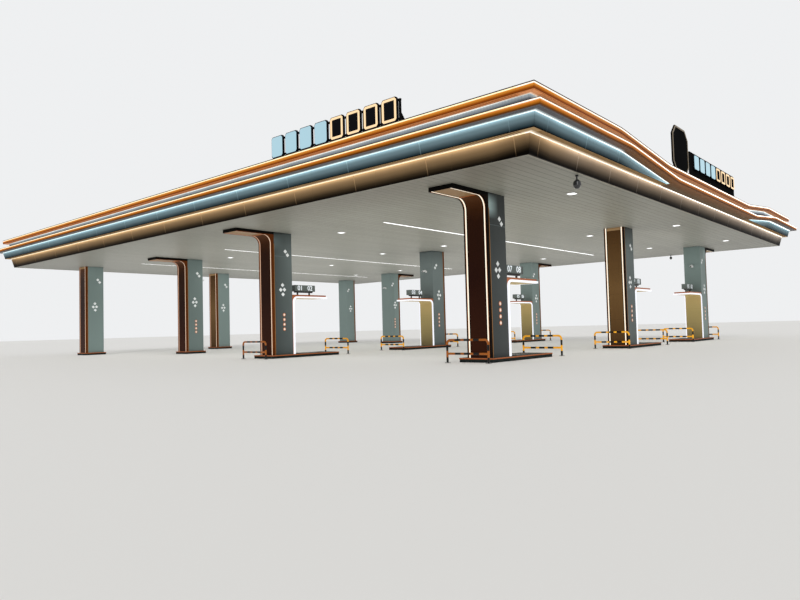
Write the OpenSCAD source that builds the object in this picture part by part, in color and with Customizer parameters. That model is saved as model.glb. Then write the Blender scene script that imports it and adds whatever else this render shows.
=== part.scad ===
// Filling station canopy: a flat roof with a stepped, lit fascia on eleven clad columns,
// six fuelling islands with low arches, and steel guard hoops at their ends.
// X runs along the front, Y from front to back, Z up. The origin is the middle of the plan on the ground.

/* [Roof] */
// Length of the ceiling along the front
roof_x = 37600; // [36800:100:38000]
// Depth of the ceiling from front to back
roof_y = 31300; // [30500:100:33000]
// Clear height from the ground to the ceiling
clear_z = 5800; // [5600:50:6200]
// Height of the top of the fascia above the ceiling
fascia_z = 1700; // [1650:10:1900]
// How far the middle of each short side dips
wave_drop = 405; // [385:5:405]
// Distance from the middle of a short side to the outer bend of the wave
wave_out = 10500; // [9500:100:11500]
// Distance from the middle of a short side to the inner bend of the wave
wave_in = 6000; // [5000:100:7000]

/* [Columns] */
// Width of a column along the front
column_x = 970; // [900:10:1050]
// Depth of a column from front to back
column_y = 1030; // [950:10:1100]
// Distance from the middle row of columns to the front and back rows
row_y = 11780; // [11500:10:12200]
// Depth of the lit panel box on a column
panel_depth = 100; // [80:5:120]
// Reach of the arm under the ceiling, from the column's face
arm_reach = 2050; // [1500:50:2100]

/* [Islands] */
// Width of a fuelling island
island_x = 1370; // [1200:10:1500]
// Length of a fuelling island
island_y = 4090; // [3900:10:4400]
// Height of the kerb
kerb_z = 150; // [120:5:180]
// Height of the underside of the arch over a fuelling place
arch_z = 2800; // [2600:50:3000]
// Reach of the arch from the column's face
arch_reach = 2150; // [1800:50:2300]

/* [Guard hoops] */
// Width of a hoop over its posts
hoop_x = 1740; // [1500:10:1800]
// Height of a hoop
hoop_z = 820; // [700:10:900]
// Diameter of the hoop's tube
hoop_d = 76; // [60:2:90]

/* [Hidden] */

$fn = 48;

// Heights of the fascia, up from the ceiling
blue_z = clear_z + 560;
blue_h = 405;
lower_z = blue_z + blue_h;
lower_h = 150;
pale_z = lower_z + lower_h;
upper_h = 165;
top_z = clear_z + fascia_z;
upper_z = top_z - upper_h;

// Distances of the fascia's edges out from the ceiling's edge
skirt_out = [20, 140];
blue_out = [420, 515];
lower_out = [845, 858];
pale_out = [205, 245];
upper_out = [510, 522];
cap_in = 260;
wall_t = 200;
sheet_t = 14;
drip_h = 15;

// The light line lies in a rebate along the top outer edge of its band
line_w = 32;
line_h = 34;
line_proud = 5;
mitre_gap = 3;
joint_gap = 3;
bend_r = 350;
// Distance beyond the inner bend of the wave at which the blue band ends
blue_end = 100;

// Ceiling, roof sheets and the steel frame between them
deck_t = 80;
board_w = 300;
groove_w = 14;
groove_depth = 9;
deck_top = clear_z + deck_t;
ridge_z = clear_z + 1040;
roof_fall = 230;
sheet_gap = 180;
rib_pitch = 740;
rib_h = 55;
cap_w = 240;
cap_t = 4;
gutter_w = 300;
gutter_t = 10;
gutter_drop = 160;
flange_w = 300;
flange_t = 25;
web_t = 16;
cross_beam_h = 560;

// Lines of columns, measured from the right end of the ceiling, and each column's place.
// A column is [line, y, side its panel faces, has an arm, has a fuelling island].
line_inset = [3970, 15660, 27630, 35120];
line_x = [for (inset = line_inset) roof_x / 2 - inset];
store_row_y = -1950;
inner_front_y = -9000;
inner_back_y = 9580;
COLUMNS = [
    [0, -row_y, -1, true, true], [0, 0, -1, false, true], [0, row_y, 1, true, true],
    [1, -row_y, -1, true, true], [1, 0, 1, false, true], [1, row_y, 1, true, true],
    [2, inner_front_y, -1, true, false], [2, inner_back_y, 1, true, false],
    [3, -row_y, -1, false, false], [3, store_row_y, -1, false, false], [3, row_y, 1, false, false]];

// Column cladding and its lit panel
column_seam_z = 4690;
seam_h = 12;
seam_depth = 10;
arm_t = 120;
arm_z = clear_z - arm_t;
arm_bend_r = 420;
panel_split_z = arm_z - arm_bend_r;
face_t = 16;
face_x = 694;
light_x = 50;
light_t = 22;
light_inset = 72;
trim_w = 22;
trim_t = 10;

// Arch over the fuelling place
arch_t = 110;
arch_top_z = arch_z + 130;
arch_bend_r = 200;
arch_split_z = arch_z - arch_bend_r;
cheek_t = 45;
cheek_depth = 60;
cheek_proud = 20;
arch_box_x = column_x - 60;

// Number box above the arch
number_box = [300, 1250, 300];
number_box_off = 470;
number_rail = [110, 1100, 60];
number_post = 60;
number_rim = 24;
number_sink = 12;
number_gap = 200;

// Islands and plinths
island_head = 835;
plinth_x = 1170;
plinth_y = 1350;
plinth_off = 60;
base_plate = [520, 960, 10];
base_plate_off = 1250;
base_plate_cut = 30;
kerb_trim_h = 40;
kerb_trim_t = 12;
hoop_off = 500;
hoop_bend_r = 130;
hoop_mid_z = 320;
hoop_foot = [150, 150, 10];

// Lamps in the ceiling
strip_w = 100;
strip_t = 16;
strip_y = 20900;
strip_inset = [10000, 21780, 31050];
square_light = 340;
square_light_t = 18;
square_chamfer = 32;
light_rim = 27;
// Square lamps stand in pairs beside the lines of columns: how far to the left and right of each line,
// and the places of its rows
LIGHT_SIDES = [[-2010, 2370], [-2370, 2310], [-2300, 2630]];
LIGHT_ROWS = [[-9850, 1130, 9700], [-9750, -1760, 9750], [-7900, 500, 7900]];

// Signs
sign_base_z = 7620 - 7500;
tile_h = 780;
tile_t = 90;
tile_chamfer = 70;
tile_w = 640;
tile_pitch = 790;
front_sign_off = 300;
front_sign_x = roof_x / 2 - 7400;
sign_tube = 60;
brace_rise = 480;
brace_run = 400;
board_t = 60;
board_y = [-2450, 4450];
board_h = 1255;
board_off = 200;
side_tile_h = 630;
side_tile_pitch = 810;
emblem_y = -3600;
emblem_size = 1900;
emblem_lift = 105;
emblem_chamfer = 380;
emblem_foot = 900;

function rounded_step(x, r) = x <= -r ? 0 : x >= r ? x : (x + r) * (x + r) / (4 * r);

// Fall of the fascia at distance s from the middle of a short side
function dip(s) = wave_drop / (wave_out - wave_in)
    * (rounded_step(wave_out - abs(s), bend_r) - rounded_step(wave_in - abs(s), bend_r));

// Places along a short side where a bend needs a section, from s0 up to s1
function bend_stations(s0, s1) = [for (side = [-1, 1])
    for (b = side < 0 ? [wave_out, wave_in] : [wave_in, wave_out])
        for (k = [-1, -0.5, 0, 0.5, 1])
            let (s = side * b + k * bend_r)
                if (s > s0 && s < s1) [s, 0]];

// Sections are lists of [out, up] for a given dip, counter-clockwise with out to the right
skirt_section = function(d) [[0, clear_z], [skirt_out[0], clear_z],
    [skirt_out[1], blue_z - line_h], [skirt_out[1] - line_w, blue_z - line_h],
    [skirt_out[1] - line_w, blue_z], [0, blue_z]];
lower_section = function(d) let (z = lower_z - d) [[0, z], [lower_out[0] - line_w, z],
    [lower_out[0] - line_w, z - drip_h], [lower_out[0], z - drip_h],
    [lower_out[1], z + lower_h - line_h], [lower_out[1] - line_w, z + lower_h - line_h],
    [lower_out[1] - line_w, z + lower_h], [0, z + lower_h]];
pale_section = function(d) [[0, pale_z - d], [pale_out[0], pale_z - d],
    [pale_out[1], upper_z - d], [0, upper_z - d]];
upper_section = function(d) let (z = upper_z - d) [[-cap_in, z], [upper_out[0] - line_w, z],
    [upper_out[0] - line_w, z - drip_h], [upper_out[0], z - drip_h],
    [upper_out[1], top_z - d - line_h], [upper_out[1] - line_w, top_z - d - line_h],
    [upper_out[1] - line_w, top_z - d], [-cap_in, top_z - d]];
wall_section = function(d) [[-wall_t, deck_top], [0, deck_top], [0, upper_z - d], [-wall_t, upper_z - d]];
edge_trim_section = function(d) [[-60, clear_z - 12], [18, clear_z - 12], [18, clear_z], [-60, clear_z]];

// The blue band keeps its foot level while its head falls with the wave, to a thin end.
// Its light line stays as far out all the way, so the face turns flatter towards that end.
blue_line_out = blue_out[1] - (blue_out[1] - blue_out[0]) * line_h / blue_h;
function blue_line_h(h) = min(line_h, 0.6 * h);
blue_section = function(d) let (h = blue_h - d, foot = h - blue_line_h(h), back = blue_line_out - line_w)
    [[0, blue_z], [blue_out[0], blue_z], [blue_line_out, blue_z + foot],
    [back, blue_z + foot], [back, blue_z + h], [0, blue_z + h]];

// A light line of given height whose outer top corner is at [out, up]
function line_section(out, up, height = line_h) = [[out - line_w, up - height],
    [out + line_proud, up - height], [out + line_proud, up], [out - line_w, up]];
// A thin sheet under a band, between two distances from the wall
function sheet_section(from, to, up) = [[from, up - sheet_t], [to, up - sheet_t], [to, up], [from, up]];

// A length of fascia from the start to the end station, swept along X with its outside towards -Y.
// A station is [s, mitre]: mitre -1 or 1 cuts that end on the diagonal of the corner.
module fascia_run(section, depth, start, end, wavy) {
    stations = concat([start], wavy ? bend_stations(start[0], end[0]) : [], [end]);
    rings = [for (st = stations) [for (p = section(wavy ? dip(st[0]) : 0))
        [st[0] + st[1] * (p[0] - mitre_gap), -depth - p[0], p[1]]]];
    n = len(rings[0]);
    last = len(rings) - 1;
    // Two triangles for each side, because a face that turns along its length isn't flat
    sides = [for (i = [0 : last - 1]) for (j = [0 : n - 1])
        let (k = (j + 1) % n, a = i * n + j, b = (i + 1) * n + j, c = (i + 1) * n + k, d = i * n + k)
            each [[a, b, c], [a, c, d]]];
    head = [for (j = [0 : n - 1]) j];
    tail = [for (j = [n - 1 : -1 : 0]) last * n + j];
    polyhedron([for (r = rings) for (p = r) p], concat([head], sides, [tail]), convexity = 6);
}

module long_sides(section) {
    for (k = [0, 2])
        rotate([0, 0, 90 * k]) fascia_run(section, roof_y / 2, [-roof_x / 2, -1], [roof_x / 2, 1], false);
}

// Short sides made in lengths that meet at the given distances from one end to the other
module short_sides(section, joints) {
    half = roof_y / 2;
    for (k = [1, 3]) rotate([0, 0, 90 * k]) for (i = [0 : len(joints) - 2]) {
        start = joints[i] == -half ? [-half, -1] : [joints[i] + joint_gap / 2, 0];
        end = joints[i + 1] == half ? [half, 1] : [joints[i + 1] - joint_gap / 2, 0];
        fascia_run(section, roof_x / 2, start, end, true);
    }
}

// The four mitred sides of a band that follows the wave
module fascia(section) {
    long_sides(section);
    short_sides(section, [-roof_y / 2, -wave_out, -wave_in, wave_in, wave_out, roof_y / 2]);
}

// A level band all round
module level_fascia(section) {
    long_sides(section);
    short_sides(section, [-roof_y / 2, roof_y / 2]);
}

// A band whose short sides run from each corner to where the wave cuts it off
module cut_fascia(section) {
    long_sides(section);
    short_sides(section, [-roof_y / 2, -wave_in - blue_end]);
    short_sides(section, [wave_in + blue_end, roof_y / 2]);
}

// Boards that run from front to back, parted by shallow grooves
module ceiling_deck() {
    half = roof_x / 2;
    last = floor(half / board_w);
    grooves = [for (i = [-last : last]) if (abs(i * board_w) < half - groove_w) each
        [[i * board_w - groove_w / 2, 0], [i * board_w, groove_depth], [i * board_w + groove_w / 2, 0]]];
    color([0.76, 0.77, 0.74]) translate([0, 0, clear_z])
        rotate([90, 0, 0]) linear_extrude(height = roof_y, center = true)
            polygon(concat([[-half, deck_t], [-half, 0]], grooves, [[half, 0], [half, deck_t]]));
}

// Height of the sheets' underside at distance y from the ridge
function sheet_z(y) = ridge_z - rib_h - roof_fall * abs(y) / (roof_y / 2 - wall_t);

// Plate girders on the lines of columns, their tops sloped for the roof's fall, cross beams on the rows,
// and a closing plate behind each gutter
module roof_frame() {
    half = roof_y / 2 - wall_t - gutter_w;
    head = function(y) sheet_z(y);
    module plate(width, low, high) {
        rotate([90, 0, 90]) linear_extrude(height = width, center = true)
            polygon([[-half, low(half)], [0, low(0)], [half, low(half)],
                [half, high(half)], [0, high(0)], [-half, high(half)]]);
    }
    color([0.45, 0.46, 0.47]) union() {
        for (x = line_x) translate([x, 0, 0]) {
            plate(web_t, function(y) deck_top, head);
            plate(flange_w, function(y) deck_top, function(y) deck_top + flange_t);
            plate(flange_w, function(y) head(y) - flange_t, head);
        }
        for (side = [-1, 1]) translate([0, side * (half - web_t / 2), deck_top])
            translate([-roof_x / 2 + wall_t + 20, -web_t / 2, 0])
                cube([roof_x - 2 * wall_t - 40, web_t, sheet_z(half) - deck_top - 2]);
        for (y = [-row_y, 0, row_y]) translate([line_x[3], y, deck_top]) {
            run = line_x[0] - line_x[3];
            translate([0, -web_t / 2, 0]) cube([run, web_t, cross_beam_h]);
            for (z = [0, cross_beam_h - flange_t])
                translate([0, -flange_w / 2, z]) cube([run, flange_w, flange_t]);
        }
    }
}

// Two ribbed sheets that fall from the ridge to the long sides
module roof_sheets() {
    half_x = roof_x / 2 - wall_t - 20;
    fall = atan2(roof_fall, roof_y / 2 - wall_t);
    ribs = floor(2 * half_x / rib_pitch);
    first = -ribs * rib_pitch / 2;
    top = [for (i = [0 : ribs - 1]) let (x = first + (i + 0.5) * rib_pitch)
        each [[x - 60, 0], [x - 25, rib_h], [x + 25, rib_h], [x + 60, 0]]];
    outline = concat([[-half_x, 0], [-half_x, sheet_t]], [for (p = top) p + [0, sheet_t]],
        [[half_x, sheet_t], [half_x, 0]]);
    length = (roof_y / 2 - wall_t - gutter_w / 2) / cos(fall);
    color([0.55, 0.57, 0.58]) for (side = [0, 180])
        rotate([0, 0, side]) translate([0, -4, ridge_z - rib_h]) rotate([fall, 0, 0])
            rotate([90, 0, 0]) linear_extrude(height = length - 4) polygon(outline);
}

// Folded cap over the ridge, standing on the ribs of both sheets
module ridge_cap() {
    z = ridge_z + sheet_t;
    drop = cap_w * roof_fall / (roof_y / 2 - wall_t);
    profile = [[-cap_w, -drop], [0, 0], [cap_w, -drop],
        [cap_w, cap_t - drop], [0, cap_t], [-cap_w, cap_t - drop]];
    color([0.62, 0.63, 0.63]) translate([0, 0, z])
        rotate([90, 0, 90]) linear_extrude(height = roof_x - 2 * wall_t - 60, center = true) polygon(profile);
}

// Floors of the gutters between the parapet wall and the closing plates
module roof_gutters() {
    run = roof_x - 2 * wall_t - 40;
    z = sheet_z(roof_y / 2) - gutter_drop;
    color([0.62, 0.63, 0.63]) for (side = [0, 180])
        rotate([0, 0, side]) translate([-run / 2, roof_y / 2 - wall_t - gutter_w, z])
            cube([run, gutter_w, gutter_t]);
}

module parapet_wall() {
    color([0.5, 0.5, 0.5]) fascia(wall_section);
}

module ceiling_edge_trim() {
    color([0.85, 0.83, 0.76]) level_fascia(edge_trim_section);
}

module skirt_band() {
    color([0.62, 0.5, 0.36]) level_fascia(skirt_section);
}

module blue_band() {
    color([0.42, 0.55, 0.6]) cut_fascia(blue_section);
}

module lower_band() {
    color([0.86, 0.5, 0.16]) fascia(lower_section);
}

module pale_band() {
    color([0.72, 0.78, 0.8]) fascia(pale_section);
}

module upper_band() {
    color([0.86, 0.5, 0.16]) fascia(upper_section);
}

module blue_band_underside() {
    sheet = function(d) sheet_section(skirt_out[1] + line_proud + 5, blue_out[0] - 5, blue_z);
    color([0.5, 0.4, 0.26]) cut_fascia(sheet);
}

// Beyond the blue band, and right back to the skirt where the wave cuts the blue band off
module lower_band_underside() {
    function sheet(back) = function(d) sheet_section(back, lower_out[0] - line_w, lower_z - d);
    color([0.42, 0.4, 0.42]) {
        cut_fascia(sheet(blue_out[1] + 10));
        short_sides(sheet(skirt_out[1] + 20), [-wave_in - blue_end, wave_in + blue_end]);
    }
}

module upper_band_underside() {
    sheet = function(d) sheet_section(pale_out[1] + 5, upper_out[0] - line_w, upper_z - d);
    color([0.6, 0.33, 0.18]) fascia(sheet);
}

module skirt_light_line() {
    color([1, 0.96, 0.85]) level_fascia(function(d) line_section(skirt_out[1], blue_z));
}

module blue_light_line() {
    line = function(d) let (h = blue_h - d) line_section(blue_line_out, blue_z + h, blue_line_h(h));
    color([0.9, 0.98, 1]) cut_fascia(line);
}

module lower_light_line() {
    color([1, 0.93, 0.78]) fascia(function(d) line_section(lower_out[1], pale_z - d));
}

module upper_light_line() {
    color([1, 0.93, 0.78]) fascia(function(d) line_section(upper_out[1], top_z - d));
}

module strip_lights() {
    color([1, 1, 1]) for (inset = strip_inset)
        translate([roof_x / 2 - inset - strip_w / 2, -strip_y / 2, clear_z - strip_t])
            cube([strip_w, strip_y, strip_t]);
}

// A square plate with cut corners, centred
module cut_square(size, chamfer) {
    h = size / 2;
    c = h - chamfer;
    polygon([[-c, -h], [c, -h], [h, -c], [h, c], [c, h], [-c, h], [-h, c], [-h, -c]]);
}

module at_square_lights() {
    for (line = [0 : 2]) for (y = LIGHT_ROWS[line]) for (off = LIGHT_SIDES[line])
        translate([line_x[line] + off, y, clear_z - square_light_t]) children();
}

module square_lights() {
    color([1, 1, 1]) at_square_lights() translate([0, 0, 5]) linear_extrude(height = square_light_t - 5)
        cut_square(square_light - 2 * light_rim, square_chamfer);
}

module square_light_frames() {
    color([0.85, 0.85, 0.84]) at_square_lights() linear_extrude(height = square_light_t) difference() {
        cut_square(square_light, square_chamfer + 10);
        cut_square(square_light - 2 * light_rim, square_chamfer);
    }
}

// Puts its children at a column, with the lit panel towards +Y
module at_column(c) {
    translate([line_x[c[0]], c[1], 0]) rotate([0, 0, c[2] > 0 ? 0 : 180]) children();
}

// Extrudes an outline of [distance out, height] from a column's face along X
module across(width) {
    rotate([90, 0, 90]) linear_extrude(height = width, center = true) children();
}

// Face of a post that bends out into an arm: up at distance out, round a bend, and out to reach.
// off moves the line towards the open side.
function bent_line(foot_z, out, arm, r, reach, off) = concat([[out + off, foot_z]],
    [for (a = [180 : -90 / 12 : 90]) [out + r + (r - off) * cos(a), arm - r + (r - off) * sin(a)]],
    [[reach, arm - off]]);

function reversed(list) = [for (i = [len(list) - 1 : -1 : 0]) list[i]];

// Strip between two such lines
module bent_strip(foot_z, out, arm, r, reach, off0, off1) {
    polygon(concat(bent_line(foot_z, out, arm, r, reach, off0),
        reversed(bent_line(foot_z, out, arm, r, reach, off1))));
}

module column_box(foot_z) {
    module tier(inset, z0, z1) {
        translate([inset - column_x / 2, inset - column_y / 2, z0])
            cube([column_x - 2 * inset, column_y - 2 * inset, z1 - z0]);
    }
    union() {
        tier(0, foot_z, column_seam_z);
        tier(seam_depth, column_seam_z, column_seam_z + seam_h);
        tier(0, column_seam_z + seam_h, clear_z);
    }
}

module columns() {
    color([0.38, 0.42, 0.42]) for (c = COLUMNS) at_column(c) column_box(kerb_z);
}

// Dark box of the lit panel: a straight post, cut off below the arm where there is one
module panel_boxes() {
    color([0.05, 0.05, 0.05]) for (c = COLUMNS) at_column(c) {
        top = c[3] ? panel_split_z : clear_z;
        translate([-column_x / 2, column_y / 2, kerb_z]) cube([column_x, panel_depth, top - kerb_z]);
    }
}

// Solid corner between a post and its arm
module bend_block(width, out, arm, r) {
    arc = bent_line(arm - r, out, arm, r, out + r, 0);
    across(width) polygon(concat([[0, arm - r]], [for (i = [1 : len(arc) - 2]) arc[i]], [[0, arm]]));
}

module panel_bends() {
    color([0.05, 0.05, 0.05]) for (c = COLUMNS) if (c[3]) at_column(c) translate([0, column_y / 2, 0])
        bend_block(column_x, panel_depth, arm_z, arm_bend_r);
}

module panel_arms() {
    color([0.05, 0.05, 0.05]) for (c = COLUMNS) if (c[3]) at_column(c)
        translate([-column_x / 2, column_y / 2, arm_z]) cube([column_x, arm_reach, clear_z - arm_z]);
}

// Skin of given thickness that follows the outside of a column's panel
module panel_skin(c, width, thick) {
    translate([0, column_y / 2, 0]) across(width) {
        if (c[3]) bent_strip(kerb_z, panel_depth, arm_z, arm_bend_r, arm_reach, 0, thick);
        else polygon([[panel_depth, kerb_z], [panel_depth + thick, kerb_z],
            [panel_depth + thick, clear_z], [panel_depth, clear_z]]);
    }
}

module panel_faces() {
    color([0.22, 0.12, 0.07]) for (c = COLUMNS) at_column(c) panel_skin(c, face_x, face_t);
}

module panel_light_lines() {
    color([1, 0.93, 0.82]) for (c = COLUMNS) at_column(c) for (side = [-1, 1])
        translate([side * (column_x / 2 - light_inset - light_x / 2), 0, 0]) panel_skin(c, light_x, light_t);
}

// Thin upright angles where the panel box meets the cladding
module panel_trims() {
    color([0.55, 0.36, 0.16]) for (c = COLUMNS) at_column(c) for (side = [-1, 1])
        translate([side * (column_x / 2 + trim_t / 2) - trim_t / 2, column_y / 2 - trim_w / 2, kerb_z])
            cube([trim_t, trim_w, (c[3] ? panel_split_z : clear_z) - kerb_z]);
}

// Puts its children at the dispenser side of a column with an island, with +Y out over the island
module at_arch(c) {
    at_column(c) rotate([0, 0, 180]) translate([0, column_y / 2, 0]) children();
}

module arch_posts() {
    color([0.55, 0.36, 0.16]) for (c = COLUMNS) if (c[4]) at_arch(c)
        translate([-arch_box_x / 2, 0, kerb_z]) cube([arch_box_x, arch_t, arch_split_z - kerb_z]);
}

module arch_bends() {
    color([0.55, 0.36, 0.16]) for (c = COLUMNS) if (c[4]) at_arch(c)
        bend_block(arch_box_x, arch_t, arch_z, arch_bend_r);
}

module arch_arms() {
    color([0.55, 0.36, 0.16]) for (c = COLUMNS) if (c[4]) at_arch(c)
        translate([-arch_box_x / 2, 0, arch_z]) cube([arch_box_x, arch_reach, arch_top_z - arch_z]);
}

module arch_faces() {
    color([0.66, 0.52, 0.3]) for (c = COLUMNS) if (c[4]) at_arch(c)
        across(arch_box_x - 20)
            bent_strip(kerb_z, arch_t, arch_z, arch_bend_r, arch_reach - cheek_t, 0, face_t);
}

// Lit cheeks along both edges of the arch, joined by a lit end
module arch_light_lines() {
    color([1, 1, 1]) for (c = COLUMNS) if (c[4]) at_arch(c) union() {
        for (side = [-1, 1]) translate([side * (arch_box_x + cheek_t) / 2, 0, 0])
            across(cheek_t)
                bent_strip(kerb_z, arch_t, arch_z, arch_bend_r, arch_reach, -cheek_depth, cheek_proud);
        translate([-arch_box_x / 2 - cheek_t, arch_reach, arch_z - cheek_proud])
            cube([arch_box_x + 2 * cheek_t, cheek_t, cheek_depth + cheek_proud]);
    }
}

module number_boxes() {
    sunk = [number_sink + 1, number_box[1] - 2 * number_rim, number_box[2] - 2 * number_rim];
    color([0.34, 0.38, 0.38]) for (c = COLUMNS) if (c[4]) at_arch(c)
        translate([-number_box[0] / 2, number_box_off, arch_top_z + number_gap]) difference() {
            cube(number_box);
            for (x = [-1, number_box[0] - number_sink]) translate([x, number_rim, number_rim]) cube(sunk);
        }
}

module number_box_rails() {
    color([0.08, 0.08, 0.08]) for (c = COLUMNS) if (c[4]) at_arch(c)
        translate([0, number_box_off + (number_box[1] - number_rail[1]) / 2, arch_top_z]) union() {
            translate([-number_rail[0] / 2, 0, number_gap - number_rail[2]]) cube(number_rail);
            for (y = [150, number_rail[1] - 150 - number_post]) translate([-number_post / 2, y, 0])
                cube([number_post, number_post, number_gap - number_rail[2]]);
        }
}

// Block of an island, with its head beyond the lit panel
module island_block(grow, z0, z1) {
    translate([-island_x / 2 - grow, column_y / 2 + 320 - island_y - grow, z0])
        cube([island_x + 2 * grow, island_y + 2 * grow, z1 - z0]);
}

module plinth_block(grow, z0, z1) {
    translate([-plinth_x / 2 - grow, plinth_off - plinth_y / 2 - grow, z0])
        cube([plinth_x + 2 * grow, plinth_y + 2 * grow, z1 - z0]);
}

module fuelling_islands() {
    color([0.3, 0.3, 0.29]) for (c = COLUMNS) if (c[4]) at_column(c) island_block(0, 0, kerb_z);
}

module column_plinths() {
    color([0.3, 0.3, 0.29]) for (c = COLUMNS) if (!c[4]) at_column(c) plinth_block(0, 0, kerb_z);
}

module kerb_trims() {
    z0 = kerb_z - kerb_trim_h;
    color([0.7, 0.36, 0.16]) for (c = COLUMNS) at_column(c) difference() {
        if (c[4]) island_block(kerb_trim_t, z0, kerb_z);
        else plinth_block(kerb_trim_t, z0, kerb_z);
        if (c[4]) island_block(0, z0 - 1, kerb_z + 1);
        else plinth_block(0, z0 - 1, kerb_z + 1);
    }
}

// Steel plate on each island that a dispenser is bolted to
module dispenser_base_plates() {
    x = base_plate[0] / 2;
    y = base_plate[1] / 2;
    cut = base_plate_cut;
    color([0.42, 0.43, 0.44]) for (c = COLUMNS) if (c[4]) at_arch(c)
        translate([0, base_plate_off, kerb_z]) linear_extrude(height = base_plate[2])
            polygon([[x - cut, y], [cut - x, y], [-x, y - cut], [-x, cut - y],
                [cut - x, -y], [x - cut, -y], [x, cut - y], [x, y - cut]]);
}

// One hoop across X: two posts on foot plates, a bent top rail and a middle rail
module hoop() {
    r = hoop_d / 2;
    half = hoop_x / 2 - r;
    bend_z = hoop_z - r - hoop_bend_r;
    union() {
        for (side = [-1, 1]) {
            translate([side * half - hoop_foot[0] / 2, -hoop_foot[1] / 2, 0]) cube(hoop_foot);
            translate([side * half, 0, 0]) cylinder(h = bend_z, r = r);
            translate([side * (half - hoop_bend_r), 0, bend_z]) rotate([90, 0, side > 0 ? 0 : 180])
                rotate_extrude(angle = 90) translate([hoop_bend_r, 0]) circle(r = r);
        }
        for (rail = [[half - hoop_bend_r, hoop_z - r], [half, hoop_mid_z]])
            translate([-rail[0], 0, rail[1]]) rotate([0, 90, 0]) cylinder(h = 2 * rail[0], r = r);
    }
}

module guard_hoops() {
    head = column_y / 2 + 320 + hoop_off;
    color([0.9, 0.65, 0.08]) for (c = COLUMNS) if (c[4]) at_column(c)
        for (y = [head, head - island_y - 2 * hoop_off]) translate([0, y, 0]) hoop();
}

// A hanging dome camera: stem, hood and dome
module dome_camera(k) {
    color([0.12, 0.12, 0.13]) union() {
        translate([0, 0, -40 * k]) cylinder(h = 40 * k, r = 50 * k);
        translate([0, 0, -150 * k]) cylinder(h = 135 * k, r = 25 * k);
        translate([0, 0, -200 * k]) cylinder(h = 60 * k, r1 = 108 * k, r2 = 50 * k);
        translate([0, 0, -320 * k]) cylinder(h = 120 * k, r1 = 125 * k, r2 = 108 * k);
        translate([0, 0, -320 * k]) difference() {
            sphere(r = 105 * k);
            translate([-200 * k, -200 * k, 5 * k]) cube(400 * k);
        }
    }
}

module dome_cameras() {
    translate([roof_x / 2 - 220, -roof_y / 2 + 3320, clear_z]) dome_camera(1);
    translate([roof_x / 2 - 6600, roof_y / 2 - 200, clear_z]) dome_camera(0.7);
}

// A small camera on a wall plate, above the arch or at the same height on a plain column
module column_cameras() {
    color([0.75, 0.76, 0.76]) for (c = COLUMNS) if (c[0] < 3) at_arch(c) translate([0, 0, 4570]) union() {
        translate([-60, 0, -60]) cube([120, 20, 120]);
        translate([-20, 10, -20]) cube([40, 170, 40]);
        translate([0, 90, 55]) rotate([-105, 0, 0]) cylinder(h = 260, r = 48);
    }
}

// Blank lit tiles along X, standing on z = 0
module tile_row(count, width, height, pitch) {
    for (i = [0 : count - 1]) translate([(i - (count - 1) / 2) * pitch, 0, height / 2])
        rotate([90, 0, 0]) linear_extrude(height = tile_t, center = true) scale([width / height, 1])
            cut_square(height, tile_chamfer);
}

module at_front_sign() {
    translate([front_sign_x, -roof_y / 2 - front_sign_off, top_z]) children();
}

// Tube that leans on a sign post from behind, from the roof's edge up to the given height
module brace() {
    lean = atan2(brace_run, brace_rise);
    intersection() {
        translate([-sign_tube / 2, brace_run, 0]) rotate([lean, 0, 0]) translate([0, -sign_tube, -sign_tube])
            cube([sign_tube, sign_tube, norm([brace_run, brace_rise]) + 2 * sign_tube]);
        translate([-sign_tube, 0, 0]) cube([2 * sign_tube, 2 * brace_run, 2 * brace_rise]);
    }
}

module front_sign_frame() {
    run = 8 * tile_pitch;
    color([0.1, 0.1, 0.11]) at_front_sign() translate([0, tile_t / 2, 0]) union() {
        for (z = [sign_base_z + 60, sign_base_z + tile_h - 120])
            translate([-run / 2, 0, z]) cube([run, sign_tube, sign_tube]);
        for (i = [0 : 8]) translate([(i - 4) * (tile_pitch - 10), 0, 0]) {
            translate([-sign_tube / 2, 0, 0]) cube([sign_tube, sign_tube, sign_base_z + tile_h - 60]);
            if (i % 2 == 0) brace();
        }
    }
}

module front_sign_tiles() {
    color([0.75, 0.88, 0.95]) at_front_sign() translate([0, 0, sign_base_z])
        tile_row(8, tile_w, tile_h, tile_pitch);
}

module at_side_sign() {
    translate([roof_x / 2 + board_off, (board_y[0] + board_y[1]) / 2, top_z - wave_drop]) rotate([0, 0, 90])
        children();
}

// Dark board behind the side tiles, with a plain cut square plate beside it
module side_sign_board() {
    run = board_y[1] - board_y[0];
    color([0.05, 0.05, 0.06]) at_side_sign() union() {
        translate([-run / 2, 0, 0]) cube([run, board_t, board_h]);
        translate([emblem_y - (board_y[0] + board_y[1]) / 2, board_t / 2, emblem_lift + emblem_size / 2])
            rotate([90, 0, 0]) linear_extrude(height = board_t, center = true)
                cut_square(emblem_size, emblem_chamfer);
        translate([emblem_y - (board_y[0] + board_y[1]) / 2 - emblem_foot / 2, 0, 0])
            cube([emblem_foot, board_t, emblem_lift + 200]);
    }
}

module side_sign_tiles() {
    color([0.75, 0.88, 0.95]) at_side_sign() translate([0, -tile_t / 2, board_h - side_tile_h - 100])
        tile_row(8, tile_w, side_tile_h, side_tile_pitch);
}

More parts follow.
